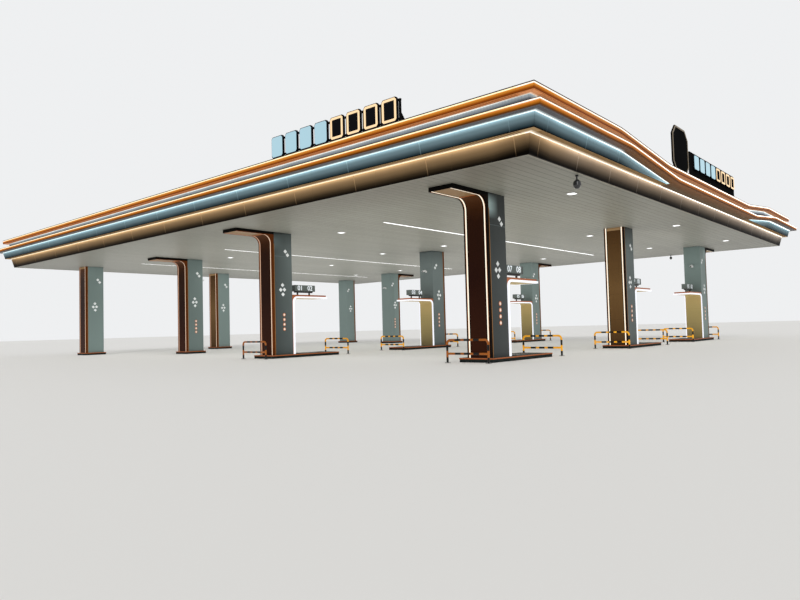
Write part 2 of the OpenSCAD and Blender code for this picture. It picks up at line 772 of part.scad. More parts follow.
ceiling_deck();
roof_frame();
roof_sheets();
ridge_cap();
roof_gutters();
parapet_wall();
ceiling_edge_trim();
skirt_band();
blue_band();
lower_band();
pale_band();
upper_band();
blue_band_underside();
lower_band_underside();
upper_band_underside();
skirt_light_line();
blue_light_line();
lower_light_line();
upper_light_line();
strip_lights();
square_lights();
square_light_frames();
columns();
panel_boxes();
panel_bends();
panel_arms();
panel_faces();
panel_light_lines();
panel_trims();
arch_posts();
arch_bends();
arch_arms();
arch_faces();
arch_light_lines();
number_boxes();
number_box_rails();
fuelling_islands();
column_plinths();
kerb_trims();
dispenser_base_plates();
guard_hoops();
dome_cameras();
column_cameras();
front_sign_frame();
front_sign_tiles();
side_sign_board();
side_sign_tiles();
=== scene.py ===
"""Finishes, lit lines and small fittings for a filling station canopy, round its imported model."""

import math
from collections import namedtuple

import bmesh
import bpy
from bpy.props import FloatProperty, FloatVectorProperty, IntProperty, PointerProperty
from mathutils import Matrix, Vector


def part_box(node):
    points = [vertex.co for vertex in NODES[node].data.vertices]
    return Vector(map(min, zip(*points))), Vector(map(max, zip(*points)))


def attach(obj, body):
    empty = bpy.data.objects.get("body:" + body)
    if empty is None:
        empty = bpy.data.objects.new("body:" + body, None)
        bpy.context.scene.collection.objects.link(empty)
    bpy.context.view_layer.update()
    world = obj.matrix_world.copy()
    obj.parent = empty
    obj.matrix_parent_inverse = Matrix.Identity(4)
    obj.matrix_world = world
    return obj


bl_info = {
    "name": "Filling station canopy",
    "version": (1, 0, 0),
    "blender": (4, 5, 0),
    "location": "View3D > Sidebar > Canopy",
    "description": "Dresses the packed canopy with its finishes, lit lines and small fittings",
    "category": "Object",
}

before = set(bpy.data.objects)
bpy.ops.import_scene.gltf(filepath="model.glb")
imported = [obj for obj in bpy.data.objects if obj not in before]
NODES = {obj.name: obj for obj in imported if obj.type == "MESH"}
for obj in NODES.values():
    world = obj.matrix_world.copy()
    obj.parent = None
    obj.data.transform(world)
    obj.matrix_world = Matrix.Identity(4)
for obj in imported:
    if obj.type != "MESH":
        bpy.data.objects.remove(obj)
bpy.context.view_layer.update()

# The roof's plan and heights, in metres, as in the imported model
DECK_LOW, DECK_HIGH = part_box("ceiling_deck")
HALF_X = DECK_HIGH.x
HALF_Y = DECK_HIGH.y
CEILING = DECK_LOW.z
SKIRT_HEIGHT = 0.56
BLUE_FOOT = CEILING + SKIRT_HEIGHT
BLUE_HEIGHT = 0.405
BLUE_HEAD = BLUE_FOOT + BLUE_HEIGHT
LOWER_HEIGHT = 0.15
LOWER_HEAD = BLUE_HEAD + LOWER_HEIGHT
ROOF_TOP = CEILING + 1.7
UPPER_HEIGHT = 0.165
UPPER_FOOT = ROOF_TOP - UPPER_HEIGHT
LIGHT_HEIGHT = 0.034

# The wave on the short sides
WAVE_DROP = 0.405
WAVE_OUT = 10.5
WAVE_IN = 6.0
WAVE_BEND = 0.35
BLUE_CUT = WAVE_IN + 0.1

# The lit panel on a column, out from the column's middle
COLUMN_HALF_X = 0.485
PANEL_FRONT = 0.615
BEND_RADIUS = 0.42
ARM_FOOT = 5.68
ARM_END = 2.565
KERB = 0.15
ARCH_AXIS = 0.515

# The right line of columns stands beyond this place along X
RIGHT_LINE = 9.0
BOARD = 0.3
HERE = [Matrix.Identity(4)]
BLACK = (0.0, 0.0, 0.0)


def linear(colour):
    """Linear colour for a hexadecimal screen colour; any other colour stays as it is."""
    if not isinstance(colour, int):
        return tuple(colour)
    parts = [((colour >> shift) & 255) / 255 for shift in (16, 8, 0)]
    return tuple(p / 12.92 if p <= 0.04045 else ((p + 0.055) / 1.055) ** 2.4 for p in parts)


def shade(colour, factor):
    """The colour made lighter or darker."""
    return tuple(min(1.0, part * factor) for part in linear(colour))


def shades(colour, *steps):
    """Stops of a ramp: at each place the colour is made lighter or darker by a factor."""
    return [(place, shade(colour, factor)) for place, factor in steps]


def blended(first, second, share):
    """A colour between two others."""
    return tuple(a + (b - a) * share for a, b in zip(linear(first), linear(second)))


def at(*place):
    return Matrix.Translation(place)


def turn(degrees, axis):
    return Matrix.Rotation(math.radians(degrees), 4, axis)


def rounded_step(x, radius):
    """Step from 0 to x with its corner rounded off."""
    if abs(x) >= radius:
        return max(x, 0.0)
    return (x + radius) ** 2 / (4 * radius)


def dip(side, s):
    """Fall of the fascia at distance s from the middle of a side; only the short sides have the wave."""
    if side % 2 == 0:
        return 0.0
    ramp = rounded_step(WAVE_OUT - abs(s), WAVE_BEND) - rounded_step(WAVE_IN - abs(s), WAVE_BEND)
    return WAVE_DROP / (WAVE_OUT - WAVE_IN) * ramp


class Value:
    """A socket of a node tree that takes part in sums."""

    def __init__(self, tree, socket):
        self.tree = tree
        self.socket = socket

    def sum(self, operation, *inputs):
        return self.tree.add("ShaderNodeMath", {"operation": operation}, inputs)

    def __add__(self, other):
        return self.sum("ADD", self, other)

    __radd__ = __add__

    def __sub__(self, other):
        return self.sum("SUBTRACT", self, other)

    def __rsub__(self, other):
        return self.sum("SUBTRACT", other, self)

    def __mul__(self, other):
        return self.sum("MULTIPLY", self, other)

    __rmul__ = __mul__

    def __truediv__(self, other):
        return self.sum("DIVIDE", self, other)

    def __abs__(self):
        return self.sum("ABSOLUTE", self)

    def above(self, limit=0.0):
        return self.sum("GREATER_THAN", self, limit)

    def least(self, other):
        return self.sum("MINIMUM", self, other)

    def most(self, other):
        return self.sum("MAXIMUM", self, other)

    def floor(self):
        return self.sum("FLOOR", self)

    def clamped(self):
        return self.least(1.0).most(0.0)

    def rise(self, start, length):
        """0 up to the start, then up to 1 over the length."""
        return ((self - start) / length).clamped()

    def fall(self, end, length):
        """1 falling to 0 over the length before the end."""
        return ((end - self) / length).clamped()

    def line(self, pitch, width, first=0.0):
        """1 on lines of the given width that repeat along this distance, falling to 0 beside them."""
        off = self.sum("PINGPONG", self - (first - pitch * 400), pitch / 2)
        return (1.0 - off / width).clamped()


class Tree:
    """The nodes of a material or of the world."""

    def __init__(self, owner):
        owner.use_nodes = True
        self.owner = owner
        self.nodes = owner.node_tree.nodes
        self.links = owner.node_tree.links

    def add(self, kind, settings=None, sockets=(), out=0):
        """Adds a node: its settings are set first, then its sockets are given values or joined."""
        node = self.nodes.new(kind)
        for key, value in (settings or {}).items():
            setattr(node, key, value)
        pairs = sockets.items() if isinstance(sockets, dict) else enumerate(sockets)
        for key, value in pairs:
            self.put(node.inputs[key], value)
        return Value(self, node.outputs[out])

    def put(self, socket, value):
        """Joins a value to a socket, or sets the socket's own number or colour."""
        if isinstance(value, Value):
            self.links.new(value.socket, socket)
        elif socket.type == "RGBA":
            socket.default_value = (*linear(value), 1.0)
        else:
            socket.default_value = value


class Finish(Tree):
    """A material."""

    def __init__(self, name):
        super().__init__(bpy.data.materials.new(name))

    def noise(self, scale, detail=3.0, stretch=(1.0, 1.0, 1.0)):
        """Soft clouds from 0 to 1, stretched along the axes."""
        point = self.add("ShaderNodeTexCoord", out="Object")
        spread = self.add("ShaderNodeMapping", sockets={"Vector": point, "Scale": stretch})
        return self.add("ShaderNodeTexNoise", None, {"Vector": spread, "Scale": scale, "Detail": detail})

    def chance(self, seed):
        """A number from 0 to 1 for each seed."""
        return self.add("ShaderNodeTexWhiteNoise", {"noise_dimensions": "1D"}, {"W": seed})

    def ramp(self, factor, stops):
        """Colours that follow one another as the factor rises."""
        node = self.add("ShaderNodeValToRGB", sockets=[factor]).socket.node
        while len(node.color_ramp.elements) < len(stops):
            node.color_ramp.elements.new(0.5)
        for element, (position, colour) in zip(node.color_ramp.elements, stops):
            element.position = position
            element.color = (*linear(colour), 1.0)
        return Value(self, node.outputs["Color"])

    def mix(self, base, *layers):
        """Colours laid over a base one after another, each by its share."""
        for share, colour in layers:
            base = self.add("ShaderNodeMix", {"data_type": "RGBA"}, {0: share, 6: base, 7: colour}, out=2)
        return base

    def surface(self, base, roughness, gloss=0.5, bump=(), glow=0.0, light=None, **others):
        """Sets the surface's shader and gives the material back.

        A bump is a height, a distance and a strength. What glows does so in its light or base colour.
        """
        sockets = {"base_color": base, "roughness": roughness, "specular_ior_level": gloss, **others}
        if bump:
            bump = dict(zip(("Height", "Distance", "Strength"), bump))
            sockets["normal"] = self.add("ShaderNodeBump", None, bump)
        if glow:
            sockets["emission_color"] = light or base
            sockets["emission_strength"] = glow
        inputs = self.nodes["Principled BSDF"].inputs
        places = {socket.name.lower().replace(" ", "_"): socket for socket in inputs}
        for key, value in sockets.items():
            self.put(places[key], value)
        return self.owner


def mapped(name):
    """A new material and the distances along X, Y and Z."""
    finish = Finish(name)
    point = finish.add("ShaderNodeTexCoord", out="Object")
    split = finish.add("ShaderNodeSeparateXYZ", sockets=[point]).socket.node
    return finish, *[Value(finish, output) for output in split.outputs]


def painted(name, colour, roughness=0.42, metallic=0.0, spread=0.07, scale=0.8, gloss=0.5, glow=0.0):
    """Sheet metal paint with faint clouds in its colour, fine dust in its gloss and a slight unevenness."""
    finish = Finish(name)
    cloud = finish.noise(scale, 5.0)
    dust = finish.noise(40.0, 3.0)
    base = finish.ramp(cloud, shades(colour, (0.25, 1 - spread), (0.75, 1 + spread)))
    bump = (cloud + dust * 0.08, 0.004, 0.35)
    return finish.surface(base, roughness - 0.09 + dust * 0.18, gloss, bump, glow, metallic=metallic)


def diffuser(finish, dark, colour, loss, strength):
    """A lit sheet whose light falls off by a loss."""
    light = finish.mix(colour, (loss, BLACK))
    return finish.surface(shade(dark, 0.12), 0.35, 0.2, glow=strength, light=light)


def lit(name, colour, strength, edge=0.93, short=None):
    """A lit diffuser with the modules behind it just told apart.

    On the short sides it may have another colour, and it grows brighter there towards the back.
    """
    finish, x, y, z = mapped(name)
    dark = colour
    loss = (x + y + z).line(0.5, 0.06) * (1.0 - edge)
    if short:
        growth = 2.2
        side = on_short(x)
        colour = finish.mix(colour, (side, short))
        loss = loss + (1.0 - y.rise(-13.0, 12.0) * side) * (1.0 - 1.0 / growth)
        strength = strength * growth
    return diffuser(finish, dark, colour, loss, strength)


def on_short(x):
    """1 on the short sides of the fascia."""
    return (abs(x) - HALF_X).above()


def outward(x, y):
    """Distance out past the ceiling's edge."""
    return (abs(x) - HALF_X).most(abs(y) - HALF_Y)


def dress(material, *names):
    """Gives CAD nodes their finish."""
    for name in names:
        node = NODES[name]
        if not node.material_slots:
            node.data.materials.append(None)
        for place in node.material_slots:
            place.material = material


def blocks(*corners):
    """A part of blocks, each between two corners."""
    part = bmesh.new()
    for low, high in corners:
        low, high = Vector(low), Vector(high)
        size = Matrix.Diagonal((*(high - low), 1.0))
        bmesh.ops.create_cube(part, size=1.0, matrix=at(*(low + high) / 2) @ size)
    return part


def pegs(*rows):
    """A part of upright round pegs: radius, foot, head, faces round, and the top's radius if it differs."""
    part = bmesh.new()
    for radius, low, high, faces, *top in rows:
        bmesh.ops.create_cone(
            part, cap_ends=True, segments=faces, radius1=radius, radius2=(top or [radius])[0],
            depth=high - low, matrix=at(0, 0, (low + high) / 2))
    return part


def lengthened(part, face, vector):
    """Extrudes a face along a vector and gives the new end face."""
    made = bmesh.ops.extrude_face_region(part, geom=[face])["geom"]
    verts = [item for item in made if isinstance(item, bmesh.types.BMVert)]
    bmesh.ops.translate(part, vec=vector, verts=verts)
    return [item for item in made if isinstance(item, bmesh.types.BMFace)][0]


def sliced(part, point, normal):
    """Takes away what lies beyond a plane."""
    bmesh.ops.bisect_plane(part, geom=part.verts[:] + part.edges[:] + part.faces[:], clear_outer=True,
                           plane_co=point, plane_no=normal)


def placed(name, data, place=None):
    """Puts an object into the scene."""
    made = bpy.data.objects.new(name, data)
    if place:
        made.matrix_world = place
    bpy.context.scene.collection.objects.link(made)
    return made


def piece(name, material, batches, bevel=0.0):
    """Makes a finished piece that rides on the canopy, from parts and the placings of their copies."""
    bm = bmesh.new()
    for part, places in batches:
        master = bpy.data.meshes.new("part")
        part.to_mesh(master)
        part.free()
        for place in places:
            copy = master.copy()
            copy.transform(place)
            bm.from_mesh(copy)
            bpy.data.meshes.remove(copy)
        bpy.data.meshes.remove(master)
    bmesh.ops.recalc_face_normals(bm, faces=bm.faces)
    mesh = bpy.data.meshes.new(name)
    bm.to_mesh(mesh)
    bm.free()
    mesh.shade_smooth()
    mesh.set_sharp_from_angle(angle=math.radians(32))
    mesh.materials.append(material)
    made = placed(name, mesh)
    if bevel:
        rounding = made.modifiers.new("rounded edges", "BEVEL")
        rounding.width = bevel
        rounding.segments = 2
    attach(made, "root")


def solids(node):
    """Lowest and highest corners of each separate solid of a CAD node, in order along X and Y."""
    bm = bmesh.new()
    bm.from_mesh(NODES[node].data)
    bmesh.ops.remove_doubles(bm, verts=bm.verts, dist=1e-5)
    left = set(bm.verts)
    boxes = []
    while left:
        reached = [left.pop()]
        group = []
        while reached:
            vert = reached.pop()
            group.append(vert.co.copy())
            near = {edge.other_vert(vert) for edge in vert.link_edges} & left
            left -= near
            reached.extend(near)
        boxes.append([Vector([pick(span) for span in zip(*group)]) for pick in (min, max)])
    bm.free()
    return sorted(boxes, key=lambda box: (round(box[0].x, 2), round(box[0].y, 2)))


def middles(node):
    return [(low + high) / 2 for low, high in solids(node)]


Column = namedtuple("Column", "x y side arm arch")
# How far from a column's middle the middle of its panel, arm or arch post may be
BESIDE_X = 0.3
BESIDE_Y = 1.8


def column_places():
    """Middle of each column, the way its lit panel faces, and whether it has an arm and an arch."""
    groups = [middles(node) for node in ("panel_boxes", "panel_arms", "arch_posts")]
    places = []
    for middle in middles("columns"):
        panel, arm, arch = [
            [point for point in group
             if abs(point.x - middle.x) < BESIDE_X and abs(point.y - middle.y) < BESIDE_Y]
            for group in groups]
        side = 1 if panel[0].y > middle.y else -1
        places.append(Column(middle.x, middle.y, side, bool(arm), bool(arch)))
    return places


COLUMNS = column_places()


def lines(columns):
    """Places along X of the lines in which columns stand."""
    return sorted({round(column.x, 3) for column in columns})


def at_column(column, arch=False):
    """Placing of a piece on a column, with +Y out over the lit panel, or over the island."""
    return at(column.x, column.y, 0) @ turn(180 if (column.side < 0) != arch else 0, "Z")


def side_frame(side):
    """Placing of one side of the fascia, run along X with its outside towards -Y; 0 is the front."""
    return turn(side * 90, "Z")


def side_halves(side):
    """Half the length of a side and its distance from the middle of the roof."""
    return (HALF_Y, HALF_X) if side % 2 else (HALF_X, HALF_Y)


def seam_places(side, first, pitch):
    """Places of joints along a side, counted from the corner between the front and the right side."""
    half = side_halves(side)[0]
    count = int((2 * half - first) / pitch) + 1
    places = [half - first - number * pitch for number in range(count)]
    return [-place for place in places] if side % 2 else places


def run(side, section, start=None, end=None, level=False):
    """A bar with the given section of (out, up) points along a side, and its placing.

    It follows the wave on a short side unless it is level. Where it reaches a corner of the roof its end
    is cut on the diagonal.
    """
    half, depth = side_halves(side)
    first = -half if start is None else start
    last = half if end is None else end
    stations = [first, last]
    if side % 2 and not level:
        bends = [way * bend + step * WAVE_BEND for way in (-1, 1) for bend in (WAVE_IN, WAVE_OUT)
                 for step in (-1, -0.5, 0, 0.5, 1)]
        stations[1:1] = sorted(s for s in bends if first < s < last)
    points = [(s, 0.0 if level else dip(side, s)) for s in stations]
    part = bmesh.new()
    head = part.faces.new([part.verts.new((first, -depth - out, up - points[0][1])) for out, up in section])
    tail = head
    for (s, fall), (next_s, next_fall) in zip(points, points[1:]):
        tail = lengthened(part, tail, (next_s - s, 0, fall - next_fall))
    for place, reach, face in ((start, -1, head), (end, 1, tail)):
        if place is None:
            for vert in list(face.verts):
                vert.co.x += reach * (-vert.co.y - depth)
    return part, [side_frame(side)]


def rectangle(near, far, low, high):
    """Section of a bar between two distances out and two heights."""
    return [(near, low), (far, low), (far, high), (near, high)]


def round_roof(*section):
    """Bars with a section between two distances out and two heights on all four sides."""
    return [run(side, rectangle(*section)) for side in range(4)]


def strength_setting(name, description, default, high):
    return FloatProperty(name=name, description=description, default=default, min=0.0, max=high)


def length_setting(name, description, default, low, high):
    return FloatProperty(
        name=name, description=description, default=default, min=low, max=high, unit="LENGTH")


def colour_setting(name, description, code):
    return FloatVectorProperty(
        name=name, description=description, default=linear(code), subtype="COLOR", size=3, min=0.0, max=1.0)


class CANOPY_PG_stage(bpy.types.PropertyGroup):
    """Lamps and floor round the canopy"""

    sky: strength_setting("Sky light", "Strength of the even light from all round", 0.72, 3.0)
    sun: strength_setting("Soft lamp", "Strength of the soft lamp from the front right", 1.1, 5.0)
    under: strength_setting("Light under the roof", "Brightness of the light below the ceiling", 0.62, 3.0)
    floor: colour_setting("Floor", "Colour of the floor", 0xE2E1DE)


class CANOPY_PG_fascia(bpy.types.PropertyGroup):
    """Sizes of the fascia's fine parts"""

    rib_pitch: length_setting("Rib pitch", "Distance between the ribs under the bands", 0.1, 0.06, 0.4)
    rib_width: length_setting("Rib width", "Width of one rib", 0.042, 0.01, 0.05)
    seam_width: length_setting("Seam width", "Width of the cover strips on the bands", 0.03, 0.01, 0.08)
    seam_pitch: length_setting(
        "Seam pitch", "Distance between cover strips on the long sides", 3.053, 1.0, 6.0)
    side_pitch: length_setting(
        "Side seam pitch", "Distance between them on the short sides", 2.36, 1.0, 6.0)


class CANOPY_PG_colours(bpy.types.PropertyGroup):
    """Colours of the canopy"""

    ceiling: colour_setting("Ceiling", "Colour of the ceiling boards", 0x93938B)
    orange: colour_setting("Orange bands", "Colour of the two orange bands", 0xD98A30)
    blue: colour_setting("Blue band", "Colour of the blue band", 0x7F9AA4)
    skirt: colour_setting("Skirt", "Colour of the band above the ceiling", 0xB4946C)
    warm: colour_setting("Warm light", "Colour of the lit lines", 0xFFF1CE)
    cladding: colour_setting("Cladding", "Colour of the columns", 0x5E6867)
    copper: colour_setting("Copper", "Colour of the copper trims", 0xC8703A)
    yellow: colour_setting("Hoops", "Colour between the hoops' black bands", 0xE9A41C)


class CANOPY_PG_fittings(bpy.types.PropertyGroup):
    """Sizes of the small fittings"""

    disc_size: length_setting("Disc size", "Width of the round plates on the columns", 0.16, 0.05, 0.3)
    motif_size: length_setting("Diamond size", "Height of the diamonds on the columns", 0.20, 0.05, 0.3)
    numeral: length_setting("Numeral size", "Height of the bay numbers", 0.25, 0.1, 0.27)
    first_bay: IntProperty(name="First bay", description="Number of the first bay", default=1, min=1, max=80)


class CANOPY_OT_stage(bpy.types.Operator):
    """Camera, plain pale floor and soft light"""

    bl_idname = "canopy.stage"
    bl_label = "Camera and light"

    def execute(self, context):
        settings = context.scene.canopy_stage
        lens = bpy.data.cameras.new("camera")
        lens.lens = 29.185
        lens.sensor_width = 36.0
        lens.clip_end = 600.0
        view = at(27.373, -30.945, 1.242) @ turn(40.921, "Z") @ turn(92.46, "X") @ turn(-1.499, "Z")
        context.scene.camera = placed("camera", lens, view)
        context.scene.view_settings.view_transform = "Standard"
        context.scene.world = self.world(settings.sky)

        sun = bpy.data.lights.new("soft_lamp", "SUN")
        sun.energy = settings.sun
        sun.angle = math.radians(25)
        placed("soft_lamp", sun, Vector((0.55, -0.75, 0.62)).to_track_quat("Z", "Y").to_matrix().to_4x4())
        lamps = (("light_up", 0.03, 180, 1.0), ("light_down", CEILING - 0.03, 0, 0.8))
        for name, height, tilt, share in lamps:
            area = bpy.data.lights.new(name, "AREA")
            area.shape = "RECTANGLE"
            area.size = 2 * HALF_X
            area.size_y = 2 * HALF_Y
            area.energy = settings.under * share * math.pi * area.size * area.size_y
            glow = placed(name, area, at(0, 0, height) @ turn(tilt, "X"))
            glow.visible_camera = False
            glow.visible_glossy = False

        bm = bmesh.new()
        bmesh.ops.create_grid(bm, x_segments=1, y_segments=1, size=260.0, matrix=at(0, 0, -0.002))
        mesh = bpy.data.meshes.new("floor")
        bm.to_mesh(mesh)
        bm.free()
        mesh.materials.append(Finish("pale_floor").surface(settings.floor, 0.8))
        floor = placed("floor", mesh)
        return {"FINISHED"}

    def world(self, sky):
        """Even light from all round, with a pale background for the camera."""
        tree = Tree(bpy.data.worlds.new("studio"))
        light = tree.nodes["Background"]
        tree.put(light.inputs["Color"], (1.0, 1.0, 1.0))
        tree.put(light.inputs["Strength"], sky)
        pale = tree.add("ShaderNodeBackground", None, {"Color": (0.86, 0.87, 0.88)})
        rays = tree.add("ShaderNodeLightPath").socket.node.outputs
        kinds = ("Is Camera Ray", "Is Glossy Ray", "Is Transmission Ray")
        camera, glossy, through = [Value(tree, rays[kind]) for kind in kinds]
        chosen = tree.add("ShaderNodeMixShader", None,
                          [camera.most(glossy).most(through), Value(tree, light.outputs[0]), pale])
        tree.put(tree.nodes["World Output"].inputs["Surface"], chosen)
        return tree.owner


class CANOPY_OT_ceiling(bpy.types.Operator):
    """Ceiling boards, the trim round them and the lamps let into them"""

    bl_idname = "canopy.ceiling"
    bl_label = "Ceiling and lamps"

    def execute(self, context):
        dress(self.boards(context.scene.canopy_colours.ceiling), "ceiling_deck")
        dress(self.trim(), "ceiling_edge_trim")
        white = painted("lamp_housing", 0xC4C3BE, 0.3, 0.0, 0.03)
        dress(white, "square_light_frames")
        dress(lit("strip_lamp", 0xFBFDFF, 2.6), "strip_lights")
        dress(self.lens(), "square_lights")

        rails = []
        for low, high in solids("strip_lights"):
            foot = low.z - 0.006
            rails += [((low.x - 0.014, low.y - 0.03, foot), (low.x, high.y + 0.03, CEILING)),
                      ((high.x, low.y - 0.03, foot), (high.x + 0.014, high.y + 0.03, CEILING)),
                      ((low.x, low.y - 0.03, foot), (high.x, low.y, CEILING)),
                      ((low.x, high.y, foot), (high.x, high.y + 0.03, CEILING))]
            for number in range(1, 10):
                joint = low.y + (high.y - low.y) * number / 10
                rails.append(((low.x, joint - 0.006, low.z - 0.004), (high.x, joint + 0.006, low.z + 0.004)))
        piece("strip_light_rails", white, [(blocks(*rails), HERE)])

        reach = 0.157
        ways = ((-1, 0), (1, 0), (0, -1), (0, 1))
        places = [at((low.x + high.x) / 2 + a * reach, (low.y + high.y) / 2 + b * reach, low.z)
                  for low, high in solids("square_light_frames") for a, b in ways]
        piece("lamp_screws", painted("screw_steel", 0x9A9A98, 0.3, 0.9),
              [(pegs((0.007, -0.004, 0.001, 10, 0.009)), places)])
        return {"FINISHED"}

    def boards(self, colour):
        """Boards that each have their own tone and darker joints, with painted shade near the camera, along
        the front, in a patch and along the edges.
        """
        finish, x, y, z = mapped("ceiling_boards")
        board = (x / BOARD).floor()
        tone = finish.chance(board * 2.0 + ((y + 30) / 5.2).floor() * 91.0)
        # Painted shade: along the front towards the right, in a patch near the right line of columns, along
        # the ceiling's edges, and browner towards the front right corner.
        front = y.fall(-12.6, 2.6) * x.rise(5.0, 7.0)
        painted_shade_patch = (1.0 - abs(x - 15.5) / 5.0).clamped() * (1.0 - abs(y + 6.0) / 6.0).clamped()
        joints = (x.line(BOARD, 0.022) * 0.8 + y.line(5.2, 0.007, 2.6) * 0.4).clamped()
        edge = (1.0 - (HALF_X - abs(x)).least(HALF_Y - abs(y)) / 3.2).clamped()
        base = finish.mix(
            finish.ramp(tone, shades(colour, (0.0, 0.93), (1.0, 1.06))),
            (((x - y) / 30.0).clamped() * 0.75, blended(shade(colour, 0.84), 0x837F62, 0.35)),
            (front * 0.8, blended(shade(colour, 0.6), 0x7C6C52, 0.4)),
            (painted_shade_patch * 0.5, blended(shade(colour, 0.7), 0x7C7860, 0.4)),
            (joints, shade(colour, 0.34)),
            (finish.noise(0.35, 4.0) * 0.12 + edge * 0.36, shade(colour, 0.62)))
        roughness = 0.36 + finish.noise(6.0) * 0.14 + finish.chance(board * 3.7 + 0.5) * 0.02
        return finish.surface(base, roughness, 0.35, (finish.noise(1.6, 2.0, (1.0, 0.3, 1.0)), 0.01, 0.25))

    def trim(self):
        """Pale strip at the ceiling's edge, its outer lip painted dark as shadow."""
        finish, x, y, z = mapped("edge_trim")
        cloud = finish.noise(3.0)
        # The outer lip is painted near-black: painted shadow.
        lip = (outward(x, y) + 0.02).above()
        pale = finish.ramp(cloud, [(0.3, 0x9C988A), (0.7, 0xAAA697)])
        return finish.surface(finish.mix(pale, (lip, 0x17120D)), 0.4 + cloud * 0.1, 0.1)

    def lens(self):
        """Lit lens with fine prisms."""
        finish, x, y, z = mapped("square_lamp")
        prisms = (x.line(0.02, 0.01) + y.line(0.02, 0.01)) * 0.5
        return finish.surface((0.3, 0.3, 0.3), 0.25, bump=(prisms, 0.002, 0.6), glow=2.2,
                              light=finish.ramp(prisms, [(0.0, 0xFFFFFF), (1.0, 0xEDF3FA)]))


def band(name, foot, height, stops, ribs=0.0, glow=0.0, start=0.6, wavy=True, calm=0.0, dim=0.0,
         corner_shade=0.14):
    """Sheet with the light of the line along its top edge painted in: painted shade towards its foot and its
    corners.

    Away from the front its colour is painted calmer and dimmer on the short sides: painted shade. Its inner
    faces are painted dark, and near its top it glows as painted light.
    """
    finish, x, y, z = mapped(name)
    if wavy:
        z = z + abs(y).fall(WAVE_OUT, WAVE_OUT - WAVE_IN) * WAVE_DROP
    short = on_short(x)
    # Painted shade towards the corners of the roof.
    corner = (1.0 - (HALF_X - abs(x)).most(HALF_Y - abs(y)) / 1.1).clamped()
    # Faces that turn inward get no rise: painted dark, as shade.
    outside = (outward(x, y) + 0.1).above()
    cloud = (finish.noise(0.7, 4.0) - 0.5) * 0.08
    rise = ((z - foot) / height + cloud - corner * corner_shade).clamped() * outside
    colour = finish.ramp(rise, stops)
    # Painted shade: calmer and dimmer towards the back of the short sides.
    if calm or dim:
        back = y.rise(-HALF_Y, 2 * HALF_Y) * 0.9 + 0.6
        colour = finish.add("ShaderNodeHueSaturation", None, {
            "Saturation": 1.0 - y.rise(-HALF_Y, 2.5) * short * back * calm,
            "Value": short * 0.08 + 1.0 - y.rise(-HALF_Y, 7.5) * short * (dim + 0.08),
            "Color": colour})
    along = x + y
    colour = finish.mix(colour, (along.line(3.05, 0.006, 0.6) * 0.4, shade(stops[len(stops) // 2][1], 0.5)))
    streaks = finish.noise(3.0, 4.0, (1.0, 1.0, 0.12))
    height_map = streaks * 0.3
    if ribs:
        folds = along.line(ribs, ribs * 0.3)
        height_map = height_map + folds
        # The rib lines are also painted darker: painted shade in their creases.
        colour = finish.mix(colour, (folds * 0.16, 0x4A565C))
    # The band glows towards its top: painted light.
    light = finish.mix(BLACK, (rise.rise(start, 1.0 - start), colour))
    return finish.surface(colour, 0.42 + streaks * 0.14, 0.015, (height_map, 0.006, 0.4), glow, light)


def beside(out, inner, reach):
    """Share of the painted light beside the lit line at an underside's inner edge: 1 there, falling to 0 over
    its reach.
    """
    return (1.0 - (out - inner) / reach).clamped() * (out - inner + 0.01).above()


def tan_soffit(name, colour, glow):
    """Tan sheet with painted light from the lit line below and a slight painted glow."""
    finish, x, y, z = mapped(name)
    cloud = finish.noise(0.8, 5.0)
    base = finish.mix(finish.ramp(cloud, shades(colour, (0.25, 0.93), (0.75, 1.07))),
                      (beside(outward(x, y), 0.14, 0.13), 0xFFF4E0))
    return finish.surface(base, 0.45 + cloud * 0.1, 0.05, (cloud, 0.004, 0.35), glow)


def brown_soffit(name, tones, edge, glow):
    """Brown sheet with painted light: paler on the short sides and calmer towards their back, paler at its
    outer edge, brightest beside the lit line, with a slight painted glow.
    """
    finish, x, y, z = mapped(name)
    cloud = finish.noise(0.8, 5.0)
    short = on_short(x)
    out = outward(x, y)
    front, side, back = tones
    # Painted light: the tones by side, the paler outer edge and the pale line beside the lit line; the darker
    # clouds are the sheet's own tone.
    base = finish.mix(
        front, (short, side), (y.rise(-15.0, 6.0) * short * 0.7, back),
        (out.rise(0.3, 0.16) * edge, 0xD8A078), ((cloud - 0.3).clamped() * 0.3, 0x8A5A34),
        (beside(out, 0.25, 0.09), 0xF4E6DA))
    return finish.surface(base, 0.45 + cloud * 0.1, 0.05, (cloud, 0.004, 0.35), glow)


def grey_soffit():
    """Grey planks with painted light: warmer where the wave brings them down over the lit line, with a pale
    line beside it and a slight painted glow.
    """
    finish, x, y, z = mapped("grey_soffit")
    cloud = finish.noise(1.2, 4.0, (1.0, 0.4, 1.0))
    short = on_short(x)
    out = outward(x, y)
    low = abs(y).fall(13.3, 3.4) * short
    # Warm painted light from the lit line below, on the low part of the wave.
    warm_light_tint = finish.ramp(out.clamped(), [(0.1, 0x716352), (0.3, 0x5E4C38), (0.6, 0x6C4A2C), (0.85, 0x80542E)])
    level = 1.0 - abs(y).fall(10.7, 0.3) * short
    base = finish.mix(
        finish.ramp(cloud, [(0.3, 0x5A5658), (0.7, 0x6C696B)]), (low, warm_light_tint),
        (out.line(0.12, 0.012, 0.05) * low * 0.45, 0x2E2118),
        (y.line(1.18, 0.008, 0.3) * short * 0.5, 0x3A3636), (beside(out, 0.507, 0.12) * level, 0xF2FBFC))
    return finish.surface(base, 0.45 + cloud * 0.12, 0.12, (cloud, 0.003, 0.4), 0.14)


